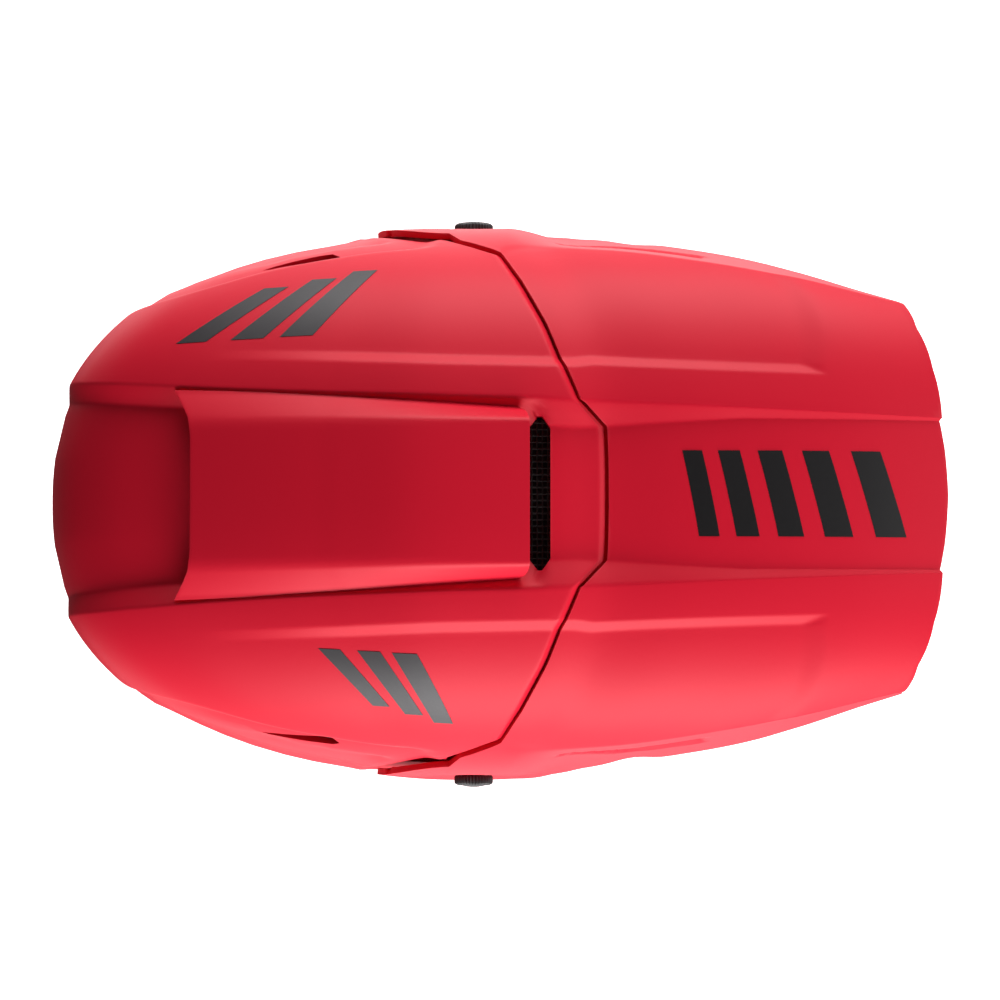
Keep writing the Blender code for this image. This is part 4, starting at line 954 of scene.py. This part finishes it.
BRASS = metal("turned_brass", (0.66, 0.47, 0.19), 0.32)
STEEL = metal("nickel_steel", (0.60, 0.60, 0.62), 0.24)


def rubbery(name, colour):
    made, surface, places = finish_named(name, colour, 0.74, sheen=0.08)
    grain, cloud = places.noise(1400, 2), places.noise(24, 2)
    feed(surface, Roughness=0.66 + grain * 0.18, Normal=places.bump(grain, 0.00005, 0.5),
         Base_Color=cloud.shades(colour, 0.85, 1.2))
    return made


RUBBER = rubbery("black_rubber", (0.022, 0.021, 0.021))


def turned(name, profile, side, look, slot, body, node, sides=96, knurl=0.0, teeth=36):
    """A piece turned about the pivot line from a closed (along, radius, knurled) outline."""
    rings = []
    for k in range(sides):
        turn = math.tau * k / sides
        bite = knurl * (0.5 - 0.5 * math.cos(teeth * turn))
        rings.append([(side * a, PIVOT_Y + (r - bite * rough) * math.cos(turn),
                       PIVOT_Z + (r - bite * rough) * math.sin(turn)) for a, r, rough in profile])
    verts, faces = loft(rings, closed=True)
    return piece(name, verts, faces, look, body, slot, [node], 32)


def span_x(node):
    """How far out a node starts and ends, on its own side."""
    low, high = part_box(node)
    return sorted((abs(low.x), abs(high.x)))


KNOB_RADIUS, KNOB_HEAD = 0.0080, 0.0050
for side, tag in ((1, "left"), (-1, "right")):
    root, tip = span_x(f"visor_knob_{tag}")
    base, k = tip - KNOB_HEAD, KNOB_RADIUS
    outline = [(root, 0.0004, 0), (root, 0.0022, 0), (root + 0.0006, 0.0028, 0), (base, 0.0028, 0)]
    outline += [(base, k - 0.0009, 0), (base + 0.0003, k - 0.0003, 1), (base + 0.0008, k, 1)]
    outline += [(base + 0.0031, k, 1), (base + 0.0037, k - 0.0004, 1), (base + 0.0041, k - 0.0011, 0.4)]
    outline += [(base + 0.0043, k - 0.0019, 0), (base + 0.0042, k - 0.0026, 0)]
    outline += [(base + 0.0047, k - 0.0045, 0), (tip, 0.0014, 0), (tip, 0.0004, 0)]
    knob = turned(f"thumb_screw_{tag}", outline, side, BLACK, "black_plastic", f"knob_{tag}",
                  f"visor_knob_{tag}", sides=216, knurl=0.00055)
    x0, x1 = sorted((side * (tip - 0.0011), side * 0.3))
    notch = [(-0.0056, -0.0007), (0.0056, -0.0007), (0.0056, 0.0007), (-0.0056, 0.0007)]
    cut(knob, [side_cut("coin_slot", notch, x0, x1)])
    settle(knob, BLACK, f"knob_{tag}", "black_plastic", (), 32)
    a0, a1 = span_x(f"visor_washer_{tag}")
    outline = [(a0 + 0.0001, 0.0034, 0), (a0, 0.0038, 0), (a0, 0.0080, 0), (a0 + 0.0002, 0.0084, 0)]
    outline += [(a1 - 0.0002, 0.0084, 0), (a1, 0.0080, 0), (a1, 0.0038, 0), (a1 - 0.0001, 0.0034, 0)]
    turned(f"friction_washer_{tag}", outline, side, RUBBER, "rubber", "shell", f"visor_washer_{tag}")
    a0, a1 = span_x(f"visor_insert_{tag}")
    outline = [(a0, 0.0032, 0), (a0, 0.0054, 0), (a0 + 0.0004, 0.0058, 1), (a1 - 0.0012, 0.0058, 1)]
    outline += [(a1 - 0.0009, 0.0066, 0), (a1 - 0.0008, 0.0092, 0), (a1 - 0.0005, 0.0095, 0)]
    outline += [(a1, 0.0093, 0), (a1, 0.0034, 0), (a1 - 0.0002, 0.0032, 0)]
    turned(f"brass_insert_{tag}", outline, side, BRASS, "brass", "shell", f"visor_insert_{tag}",
           sides=160, knurl=0.0004, teeth=32)

# ==== Rubber trims ============================================================================
# U-section edging pushed over the raw edges of the eye port and of the neck rim, and bonded.
port_trim = shell_form("port_edging", 0.0007)
cut(port_trim, [inside_form("edging_hollow", 0.0007)])
cut(port_trim, [port_cut("edging_band", -0.0004)], "INTERSECT")
ends = [level_cut("edging_low", -0.2, 0.05), level_cut("edging_high", 0.5, 0.9)]
cut(port_trim, [port_cut("edging_hole", -0.0030)] + ends)
settle(port_trim, RUBBER, "shell", "rubber", ["eye_port_trim"])
neck_trim = shell_form("neck_edging", 0.0007)
cut(neck_trim, [inside_form("neck_hollow", 0.0007)])
cut(neck_trim, [level_cut("neck_band", 0.0, 0.0028)], "INTERSECT")
settle(neck_trim, RUBBER, "shell", "rubber", ["neck_trim"])

# ==== Chin bar grilles ========================================================================
# Moulded black nylon inserts, clipped into the three openings of the chin bar from inside.
for tag, here, out, along, size in vent_places():
    if "slit" in tag:
        continue
    inset = 0.0068 if tag == "chin_vent" else 0.0040
    across = out.cross(along)
    fitted = (size[0] - 0.0008, size[1] - 0.0008, 0.0018)
    plate = block(f"{tag}_insert", here - out * inset, out, along, fitted, corner=0.0036)
    holes = []
    for row in (-1, 1):
        for col in range(-2, 3):
            spot = here + across * row * size[1] * 0.225
            spot = spot + along * (col * size[0] * 0.172 + row * size[0] * 0.02)
            slant = (along + across * 0.25 * row).normalized()
            hole = (size[0] * 0.135, size[1] * 0.29, 0.03)
            holes.append(block(f"hole_{row}_{col}", spot, out, slant, hole, corner=0.0012))
    cut(plate, holes)
    edge = plate.modifiers.new("edge", "BEVEL")
    edge.width, edge.segments = 0.0003, 2
    edge.limit_method, edge.angle_limit = "ANGLE", math.radians(50)
    apply_steps(plate)
    settle(plate, BLACK, "shell", "black_plastic", [tag + "_grille"])

# ==== Foam liners =============================================================================
# Expanded foam moulded in one block and bonded into the shell, and a second block in the chin bar.
# The surface shows the beads it is made of; the head cavity is a rounded dome.
HEAD_FORWARD, HEAD_UP = -0.030, -0.012
HEAD_SIZE = (HALF_WIDTH - 0.0310, 0.099, 0.078)


def beads():
    made, surface, places = finish_named("bead_foam", (0.040, 0.040, 0.043), 0.82)
    grid = {"Vector": places, "Scale": 380}
    cells = places.node("ShaderNodeTexVoronoi", {"feature": "DISTANCE_TO_EDGE"}, grid)
    shade = places.node("ShaderNodeTexVoronoi", {"feature": "F1"}, grid, 1)
    tone = shade.node("ShaderNodeRGBToBW", (), {0: shade})
    gap = cells.between(0.0, 0.09)
    tint = (gap * 0.75 + tone * 0.25).mix((0.022, 0.022, 0.024, 1), (0.058, 0.058, 0.062, 1))
    feed(surface, Base_Color=tint, Roughness=0.92 - gap * 0.18, Normal=places.bump(gap, 0.00022, 0.8))
    return made


FOAM = beads()


def head_place(turn, rise, depth=0.0):
    """Head cavity: turn is 0 forward and 90 to the left; rise is 0 at the temples and 90 at the crown."""
    t, e = np.radians(turn), np.radians(rise)

    def power(v, p):
        return np.sign(v) * np.abs(v) ** p

    flat = power(np.cos(e), 0.86)
    side, length, height = (v - depth for v in HEAD_SIZE)
    x = side * flat * power(np.sin(t), 0.82)
    y = PIVOT_Y - (HEAD_FORWARD + length * flat * power(np.cos(t), 0.82))
    z = PIVOT_Z + HEAD_UP + height * power(np.sin(e), 0.86)
    return np.stack(np.broadcast_arrays(x, y, z), -1)


def head_cut(name):
    turns = np.arange(0, 360, 4)
    rises = [0, 4, 8, 12, 17, 22, 27, 32, 38, 44, 50, 56, 62, 68, 73, 78, 82, 86, 89]
    rings = [head_place(turns, 0) + np.array([0, 0, -0.3])] + [head_place(turns, e) for e in rises]
    return piece(name, *loft(rings), body=None)


liner = inside_form("liner_foam", 0.0004, 3)
below = [(-0.4, -0.4), (0.4, -0.4), (0.4, -0.048), (-0.044, -0.048), (-0.070, -0.104), (-0.4, -0.114)]
cut(liner, [head_cut("head_cavity")])
inside = HALF_WIDTH - RECESS - SHELL_WALL
pockets = []
for side in (1, -1):
    ends = sorted((side * (inside - 0.0085), side * (inside + 0.01)))
    pockets.append(rod_cut(f"pocket_{side}", 0, 0, 0.0105, *ends))
cut(liner, [port_cut("liner_port", 0.0035), side_cut("liner_below", below)] + pockets)
settle(liner, FOAM, "shell", "foam", ["eps_liner"], 32)

low = PORT_TOP - PORT_HEIGHT
bar = [(0.078, 0.014 - PIVOT_Z), (0.3, 0.014 - PIVOT_Z), (0.3, low - 0.074), (0.155, low - 0.027)]
bar += [(0.120, low - 0.017), (0.078, low - 0.006)]
chin_foam = inside_form("chin_foam", 0.0004, 3)
cut(chin_foam, [side_cut("bar_side", bar)], "INTERSECT")
vents = [block(tag + "_through", here, out, along, (size[0] + 0.001, size[1] + 0.001, 0.10), corner=0.004)
         for tag, here, out, along, size in vent_places() if "slit" not in tag]
cut(chin_foam, [inside_form("bar_hollow", 0.0170, 3)] + vents)
settle(chin_foam, FOAM, "shell", "foam", ["chin_bar_foam"], 32)

# ==== Comfort pads ============================================================================
# Brushed fabric sewn round open foam and held in the liner by hook tape: cheeks, brow, nape,
# crown and neck roll. They are blown up a little, then their seams are drawn in and stitched.


def brushed_fabric():
    made, surface, places = finish_named("brushed_fabric", (0.032, 0.032, 0.035), 0.92, sheen=0.35)
    bands = {"wave_type": "BANDS", "bands_direction": "DIAGONAL"}
    sockets = {"Vector": places, "Scale": 620, "Distortion": 0.6, "Detail": 1}
    across = places.node("ShaderNodeTexWave", bands, sockets)
    nap, cloud = places.noise(3400, 3), places.noise(45, 3)
    knit = across * 0.6 + nap * 0.4
    tint = (cloud * 0.5 + knit * 0.5).mix((0.020, 0.020, 0.022, 1), (0.052, 0.052, 0.057, 1))
    feed(surface, Base_Color=tint, Roughness=0.86 + nap * 0.12, Normal=places.bump(knit, 0.00016, 0.7))
    return made


FABRIC = brushed_fabric()
THREAD = moulded_black("grey_thread", (0.16, 0.16, 0.17), 0.7, 2600, 0.00004)


def blown_up(name, node, seams=(), voxel=0.003, shrink=0.0013, swell=0.0021, pressure=4.0):
    """The node's solid as fabric: an even mesh, filled by pressure within a limit, then its seams drawn in."""
    made = bpy.data.objects.new(name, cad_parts[node].data.copy())
    bpy.context.scene.collection.objects.link(made)
    even = made.modifiers.new("even", "REMESH")
    even.mode, even.voxel_size = "VOXEL", voxel
    apply_steps(made)
    mesh = made.data
    start = np.array([v.co for v in mesh.vertices])
    normals = np.array([v.normal for v in mesh.vertices])
    start = start - normals * shrink
    mesh.vertices.foreach_set("co", start.ravel())
    mesh.update()
    cloth = made.modifiers.new("fill", "CLOTH")
    cloth.settings.quality, cloth.settings.mass = 5, 0.2
    cloth.settings.use_pressure, cloth.settings.uniform_pressure_force = True, pressure
    cloth.settings.effector_weights.gravity = 0
    cloth.point_cache.frame_start, cloth.point_cache.frame_end = 1, 20
    for tick in range(1, 21):
        bpy.context.scene.frame_set(tick)
    moved = made.evaluated_get(bpy.context.evaluated_depsgraph_get())
    end = np.array([v.co for v in moved.data.vertices])
    made.modifiers.clear()
    step = end - start
    size = np.linalg.norm(step, axis=1, keepdims=True)
    end = start + step * np.minimum(1, swell / np.maximum(size, 1e-9))
    mesh.vertices.foreach_set("co", end.ravel())
    finer = made.modifiers.new("finer", "SUBSURF")
    finer.levels = finer.render_levels = 2
    apply_steps(made)
    mesh = made.data
    points = np.array([v.co for v in mesh.vertices])
    normals = np.array([v.normal for v in mesh.vertices])
    for seam in seams:
        points = points - normals * (0.0013 * np.exp(-((seam(points) / 0.0013) ** 2)))[:, None]
    mesh.vertices.foreach_set("co", points.ravel())
    mesh.update()
    settle(made, FABRIC, "shell", "fabric", [node], 60)
    return made


def lengths(points):
    """How far along a path each of its points is."""
    return np.concatenate([[0], np.cumsum(np.linalg.norm(np.diff(points, axis=0), axis=1))])


def stitches(name, path, length=0.0022, gap=0.0011, radius=0.00022, body="shell"):
    """Short raised threads one after another along a path of points."""
    path = np.array(path, float)
    along = lengths(path)
    threads, at = [], gap / 2
    while at + length < along[-1]:
        here = [at + q * length for q in (0.0, 0.5, 1.0)]
        threads.append(np.stack([np.interp(here, along, path[:, k]) for k in range(3)], -1))
        at += length + gap
    return round_cords(name, threads, radius, THREAD, body, "fabric")


def surface_under(made, starts, ways):
    """Where rays first meet a piece, with the surface's direction there."""
    mesh = made.data
    faces = [tuple(p.vertices) for p in mesh.polygons]
    tree = BVHTree.FromPolygons([v.co for v in mesh.vertices], faces)
    found = []
    for start, way in zip(starts, ways):
        hit, normal, _, _ = tree.ray_cast(Vector(start), Vector(way))
        if hit is not None:
            found.append((hit, normal))
    return found


CHEEK_SIDE = [(0.002, 0.056), (0.013, 0.026), (0.058, 0.025), (0.0615, 0.034), (0.0625, 0.070)]
CHEEK_SIDE += [(0.053, 0.081), (0.037, 0.088), (0.026, 0.0885), (0.003, 0.0885)]


def closed_run(corners, count):
    """Evenly spread points round a closed outline with eased corners."""
    keys = np.array(corners + corners[:1], float)
    along = lengths(keys)
    at = np.linspace(0, along[-1], count, endpoint=False)
    run = np.stack([np.interp(at, along, keys[:, k]) for k in range(keys.shape[1])], -1)
    for _ in range(6):
        run = (np.roll(run, 1, 0) + 2 * run + np.roll(run, -1, 0)) / 4
    return run


cheek_run = closed_run(CHEEK_SIDE, 120)


def cheek_seam(points):
    """Distance to the seam that follows the pad's outline in side view."""
    side = np.stack([PIVOT_Y - points[:, 1], points[:, 2]], -1)
    return np.min(np.linalg.norm(side[:, None, :] - cheek_run[None, :, :], axis=2), axis=1)


for side, tag in ((1, "left"), (-1, "right")):
    pad = blown_up(f"cheek_cushion_{tag}", f"cheek_pad_{tag}", [cheek_seam])
    starts = [(0.0, PIVOT_Y - f, z) for f, z in np.vstack([cheek_run, cheek_run[:1]])]
    hits = surface_under(pad, starts, [(side, 0, 0)] * len(starts))
    raised = [p + n * 0.0001 * (1 if n.x * side < 0 else -1) for p, n in hits]
    stitches(f"cheek_stitches_{tag}", raised)


def pad_border(turns, rises, depth):
    """The outline of a pad on the head cavity's wall."""
    t = np.concatenate([np.linspace(turns[0], turns[1], 60), np.full(20, turns[1]),
                        np.linspace(turns[1], turns[0], 60), np.full(20, turns[0])])
    e = np.concatenate([np.full(60, rises[0]), np.linspace(rises[0], rises[1], 20),
                        np.full(60, rises[1]), np.linspace(rises[1], rises[0], 20)])
    for _ in range(4):
        t = (np.roll(t, 1) + 2 * t + np.roll(t, -1)) / 4
        e = (np.roll(e, 1) + 2 * e + np.roll(e, -1)) / 4
    return head_place(t, e, depth)


def bars_at(values, axis=0):
    """Distance to straight seams across a pad."""
    return lambda points: np.min([np.abs(points[:, axis] - v) for v in values], axis=0)


def piping(name, points):
    """A fabric cord round a pad's edge."""
    round_cords(name, [points], 0.0012, FABRIC, "shell", "fabric", (), True, 3)


blown_up("brow_cushion", "brow_pad", [bars_at([-0.040, 0.0, 0.040])])
piping("brow_piping", pad_border((-59.5, 59.5), (17.6, 37.4), 0.0048))
blown_up("nape_cushion", "rear_pad", [bars_at([-0.026, 0.026])])
piping("nape_piping", pad_border((132.6, 227.4), (8.6, 37.4), 0.0048))
crown_seams = [bars_at([-0.020, 0.020]), bars_at([PIVOT_Y + 0.008, PIVOT_Y + 0.052], 1)]
blown_up("crown_cushion", "crown_pad", crown_seams)
turns = np.linspace(0, 360, 160, endpoint=False)
piping("crown_piping", head_place(turns, 54 - 6 * np.cos(np.radians(4 * turns)) - 0.4, 0.0048))


def roll_seams(points):
    turn = np.degrees(np.arctan2(points[:, 0], points[:, 1] - PIVOT_Y - 0.030))
    gap = np.min([np.abs(turn - v) for v in (-56, -28, 0, 28, 56)], axis=0)
    return np.radians(gap) * np.hypot(points[:, 0], points[:, 1] - PIVOT_Y - 0.030)


blown_up("neck_cushion", "neck_roll", [roll_seams])

# ==== Chin strap ==============================================================================
# 20 mm polyester webbing on both sides, riveted to the shell and closed with two steel rings.
# Padded sleeves slide over it under the jaw, and a snap holds the loose end.
WEB, WEB_STEP = (0.020, 0.0016), 0.0005
ANCHOR_F, ANCHOR_Z = -0.022, PIVOT_Z - 0.080


def inner_width(forward, up, depth=0.0):
    angle, reach = math.degrees(math.atan2(up, forward)) % 360, math.hypot(forward, up)
    share = float(share_where(angle, reach + SHELL_WALL + depth, under=angle > 255))
    return share * (HALF_WIDTH - RECESS - SHELL_WALL - depth)


def wall_at(height):
    up = height - PIVOT_Z
    return min(inner_width(ANCHOR_F - 0.011, up), inner_width(ANCHOR_F + 0.011, up)) - 0.0008


def under_chin(x, height):
    return Vector((x, PIVOT_Y + 0.022 - 0.356 * (0.090 - abs(x)), height))


def strap_keys(side):
    x = wall_at(ANCHOR_Z - 0.010) - 0.0004 - WEB[1] / 2
    wall = [wall_at(z) - 0.0028 for z in (0.052, 0.036)]
    y = PIVOT_Y - ANCHOR_F
    return [
        (side * x, y, ANCHOR_Z + 0.011),
        (side * x, y, ANCHOR_Z - 0.007),
        (side * min(x, wall[0]), y, 0.052),
        (side * (min(x, wall[1]) - 0.007), y - 0.001, 0.036),
        tuple(under_chin(side * 0.068, 0.0235)),
    ]


def smooth_run(along, keys, at):
    """Points on one smooth curve through keys that lie this far along."""
    return np.stack([curve_through(list(zip(along, keys[:, c])), at) for c in range(3)], -1)


def strap_run(side, loop):
    """The webbing's middle line and flat side, fine enough for its ribs."""
    keys = np.array(strap_keys(side), float)
    along = lengths(keys)
    path = [Vector(p) for p in smooth_run(along, keys, np.linspace(0, along[-1], 16))]
    normals = []
    for here in path:
        level = float(ease((0.062 - here.z) / 0.040))
        normals.append(Vector((-math.copysign(1 - level, here.x), 0, level + 0.001)))
    turn = under_chin(0.04, 0) - under_chin(0.03, 0)
    across = Vector((0, 0, 1)).cross(turn).normalized()
    ends = [under_chin(x, z) for x, z in loop]
    flip = 1
    for i, here in enumerate(ends):
        before = ends[i - 1] if i else path[-1]
        after = ends[min(i + 1, len(ends) - 1)]
        normal = across.cross(after - before).normalized()
        if i == 0:
            flip = 1 if normal.z > 0 else -1
        normals.append(normal * flip)
    keys = np.array([tuple(p) for p in path + ends])
    along = lengths(keys)
    at = np.arange(0, along[-1], WEB_STEP)
    fine = smooth_run(along, keys, at)
    flat = smooth_run(along, np.array([tuple(n) for n in normals]), at)
    return fine, flat, along


def frames_along(fine, flat):
    tangent = np.gradient(fine, axis=0)
    tangent /= np.linalg.norm(tangent, axis=1, keepdims=True)
    normal = flat - tangent * np.sum(flat * tangent, axis=1, keepdims=True)
    normal /= np.linalg.norm(normal, axis=1, keepdims=True)
    return normal, np.cross(tangent, normal)


def webbing_look():
    made, surface, places = finish_named("polyester_webbing", (0.022, 0.022, 0.024), 0.78, sheen=0.25)
    fibre, cloud = places.noise(2900, 3), places.noise(70, 2)
    tint = (cloud * 0.4 + fibre * 0.6).mix((0.013, 0.013, 0.015, 1), (0.036, 0.036, 0.040, 1))
    feed(surface, Base_Color=tint, Roughness=0.70 + fibre * 0.16, Normal=places.bump(fibre, 0.00007, 0.6))
    return made


WEBBING = webbing_look()
SHORT_LOOP = [(0.057, 0.0165), (0.052, 0.0112), (0.0465, 0.0092), (0.0420, 0.0112)]
SHORT_LOOP += [(0.0405, 0.0155), (0.0420, 0.0198), (0.0465, 0.0218), (0.0520, 0.0212)]
LONG_LOOP = [(-0.030, 0.0100), (-0.010, 0.0086), (0.010, 0.0080), (0.0235, 0.0082)]
LONG_LOOP += [(0.0305, 0.0103), (0.0332, 0.0155), (0.0302, 0.0207), (0.0235, 0.0224)]
LONG_LOOP += [(0.0140, 0.0210), (-0.005, 0.0172), (-0.035, 0.0150)]
for side, tag, loop in ((1, "left", SHORT_LOOP), (-1, "right", LONG_LOOP)):
    fine, flat, along = strap_run(side, loop)
    normal, cross = frames_along(fine, flat)
    across = np.linspace(-1, 1, 21)
    length = np.arange(len(fine)) * WEB_STEP
    rings = []
    for i in range(len(fine)):
        rib = 0.00009 * np.sin(math.tau * (length[i] / 0.0021 + np.abs(across) * 2.2))
        edge = 1 - 0.55 * np.maximum(0, np.abs(across) - 0.9) / 0.1
        half = (WEB[1] / 2 - 0.0001) * edge
        w = WEB[0] / 2 - 0.0001
        top = fine[i] + np.outer(across * w, cross[i]) + np.outer(half + rib, normal[i])
        bottom = fine[i] + np.outer(across[::-1] * w, cross[i]) - np.outer(half + rib, normal[i])
        rings.append(np.concatenate([top, bottom]))
    band = piece(f"webbing_{tag}", *loft(rings), body=None, sharp=50)
    cut(band, [rod_cut("eyelet", ANCHOR_F, ANCHOR_Z - PIVOT_Z, 0.0030)])
    settle(band, WEBBING, "chin_strap", "webbing", [f"chin_strap_{tag}"], 50)
    for k, place in enumerate((0.93, 0.965)):
        i = int(len(fine) * place) if tag == "left" else int(len(fine) * (0.975 + 0.012 * k))
        start, end = (fine[i] - cross[i] * 0.008 * q + normal[i] * (WEB[1] / 2 + 0.00012) for q in (1, -1))
        forth = np.cross(cross[i], normal[i]) * 0.0009
        zigzag = [start + (end - start) * q / 24 + forth * (-1) ** q for q in range(25)]
        round_cords(f"bar_tack_{tag}_{k + 1}", [zigzag], 0.00018, THREAD, "chin_strap", "webbing")
    # the sleeve: outer and inner skins of a flat padded tube, turned in at both ends
    chosen = np.where((length >= along[8]) & (length <= along[15]))[0][::2]
    turns = np.linspace(0, math.tau, 40, endpoint=False)
    shape = np.stack([np.sign(np.cos(turns)) * np.abs(np.cos(turns)) ** 0.55 * 0.0138,
                      np.sign(np.sin(turns)) * np.abs(np.sin(turns)) ** 0.8 * 0.0034], -1)
    outer, inner = [], []
    for n, i in enumerate(chosen):
        t = n / (len(chosen) - 1)
        seam = 0.05 * math.exp(-(((t - 0.5) * 2) ** 2) / 0.004)
        puff = 0.80 + 0.20 * min(1, min(t, 1 - t) / 0.06) ** 0.5 - seam
        wide = cross[i] * (0.97 + 0.03 * puff)
        outer.append([fine[i] + wide * a + normal[i] * b * puff for a, b in shape])
        inner.append([fine[i] + cross[i] * a * 0.86 + normal[i] * b * 0.50 for a, b in shape])
    skin = loft(outer + inner[::-1], closed=True)
    sleeve = piece(f"padded_sleeve_{tag}", *skin, FABRIC, "chin_strap", "fabric",
                   [f"strap_sleeve_{tag}"], 60)
    edge_line = [outer[n][0] for n in range(2, len(outer) - 2)]
    stitches(f"sleeve_stitches_{tag}", edge_line, body="chin_strap")

for name, node, bar_z, bow_z in (("steel_ring_inner", "d_ring_inner", 0.0132, 0.0120),
                                 ("steel_ring_outer", "d_ring_outer", 0.0178, 0.0185)):
    points = []
    for k in range(20):
        turn = math.radians(90 + 180 * k / 13)
        if k <= 13:
            along = 0.0365 + 0.0140 * math.cos(turn)
            over = math.copysign(0.0126 * abs(math.sin(turn)) ** 0.5, math.sin(turn))
        elif k < 16:
            along, over = (0.0415, -0.0126) if k == 14 else (0.0450, -0.0119)
        elif k < 18:
            along, over = 0.0465, (-0.0075, 0.0075)[k - 16]
        else:
            along, over = ((0.0450, 0.0119), (0.0415, 0.0126))[k - 18]
        height = bow_z + (bar_z - bow_z) * (along - 0.0225) / 0.024
        points.append(tuple(under_chin(along, height) + Vector((0.335, -0.942, 0)) * over))
    loop = closed_run(points, 120)
    round_cords(name, [loop], 0.00148, STEEL, "chin_strap", "steel", [node], True, 5)


def lathe(name, profile, centre, axis, look, body, slot, nodes=(), sides=64):
    """A piece turned about any axis from an open (along, radius) outline whose ends lie on the axis."""
    axis = Vector(axis).normalized()
    first = axis.orthogonal().normalized()
    second = axis.cross(first)
    rings = []
    for a, r in profile:
        rings.append([Vector(centre) + axis * a + (first * math.cos(math.tau * k / sides)
                      + second * math.sin(math.tau * k / sides)) * r for k in range(sides)])
    return piece(name, *loft(rings), look, body, slot, nodes, 32)


low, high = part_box("strap_snap")
middle = (low + high) / 2
middle.z = low.z
dome = [(0, 0.0002), (0, 0.0056), (0.0002, 0.0058), (0.0009, 0.0058), (0.0012, 0.0055)]
dome += [(0.0013, 0.0047), (0.0012, 0.0043), (0.0015, 0.0040), (0.0019, 0.0033), (0.0022, 0.0022)]
dome += [(0.0024, 0.0010), (0.0024, 0.0002)]
lathe("snap_cap", dome, middle, (0, 0, 1), STEEL, "chin_strap", "steel", ["strap_snap"])
for side, tag in ((1, "left"), (-1, "right")):
    low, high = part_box(f"strap_rivet_{tag}")
    a0, a1 = sorted((abs(low.x), abs(high.x)))
    centre = (0, (low.y + high.y) / 2, (low.z + high.z) / 2)
    head = [(a0, 0.0002), (a0, 0.0054), (a0 + 0.0003, 0.0060), (a0 + 0.0012, 0.0060), (a0 + 0.0012, 0.0026),
            (a1 - 0.0016, 0.0026), (a1 - 0.0016, 0.0064), (a1 - 0.0014, 0.0067), (a1 - 0.0010, 0.0066),
            (a1 - 0.0006, 0.0056), (a1 - 0.0003, 0.0040), (a1 - 0.0001, 0.0020), (a1, 0.0002)]
    lathe(f"rivet_{tag}", head, centre, (side, 0, 0), STEEL, "shell", "steel", [f"strap_rivet_{tag}"])

# ==== Floor, light and camera =================================================================
# A white table under the helmet, a soft light at each side, and a long lens straight above.
table_look, surface, places = finish_named("white_table", (0.92, 0.92, 0.92), 0.9)
surface["Emission Strength"].default_value = 1.0
surface["Emission Color"].default_value = (1, 1, 1, 1)
tone = places.noise(3, 2)
feed(surface, Base_Color=tone.mix((0.90, 0.90, 0.90, 1), (0.94, 0.94, 0.94, 1)))
floor_mesh = bpy.data.meshes.new("white_table")
floor_mesh.from_pydata([(-9, -9, 0), (9, -9, 0), (9, 9, 0), (-9, 9, 0)], [], [(0, 1, 2, 3)])
floor = bpy.data.objects.new("white_table", floor_mesh)
bpy.context.scene.collection.objects.link(floor)
floor_mesh.materials.append(table_look)
floor.visible_diffuse = floor.visible_glossy = False

world = bpy.data.worlds.new("studio")
bpy.context.scene.world = world
world.use_nodes = True
world.node_tree.nodes["Background"].inputs["Color"].default_value = (1, 1, 1, 1)
world.node_tree.nodes["Background"].inputs["Strength"].default_value = 0.07


def soft_light(name, place, size, watts, aim=(0, 0, 0.14)):
    lamp = bpy.data.lights.new(name, "AREA")
    lamp.shape, lamp.size, lamp.size_y, lamp.energy = "RECTANGLE", size[0], size[1], watts
    made = bpy.data.objects.new(name, lamp)
    bpy.context.scene.collection.objects.link(made)
    made.location = place
    made.rotation_euler = (Vector(aim) - Vector(place)).to_track_quat("-Z", "Y").to_euler()
    made.visible_camera = False


soft_light("left_bank", (1.45, -0.20, 0.55), (1.5, 0.8), 30)
soft_light("right_bank", (-1.45, -0.20, 0.55), (1.5, 0.8), 41)
soft_light("front_bank", (0.0, -1.7, 1.05), (1.2, 0.7), 12)
for side, watts in ((1, 3.0), (-1, 2.2)):
    soft_light(f"glow_{side}", (side * 0.42, -0.02, 0.004), (0.5, 0.9), watts, (side * 0.42, -0.02, 1))

scene = bpy.context.scene
scene.view_settings.view_transform = "Standard"
camera = bpy.data.objects.new("camera", bpy.data.cameras.new("camera"))
scene.collection.objects.link(camera)
scene.camera = camera
camera.data.sensor_width, camera.data.lens = 36, 148.8
roll = math.radians(2.6)
back = Vector((-math.sin(roll), 0, math.cos(roll)))
right, up = Vector((0, -1, 0)), Vector((math.cos(roll), 0, math.sin(roll)))
aim = Vector((-0.0008, -0.0042, PIVOT_Z + 0.05))
camera.location = aim + back * 1.67
camera.matrix_world = Matrix.Translation(camera.location) @ Matrix((right, up, back)).transposed().to_4x4()
camera.data.clip_start, camera.data.clip_end = 0.05, 50
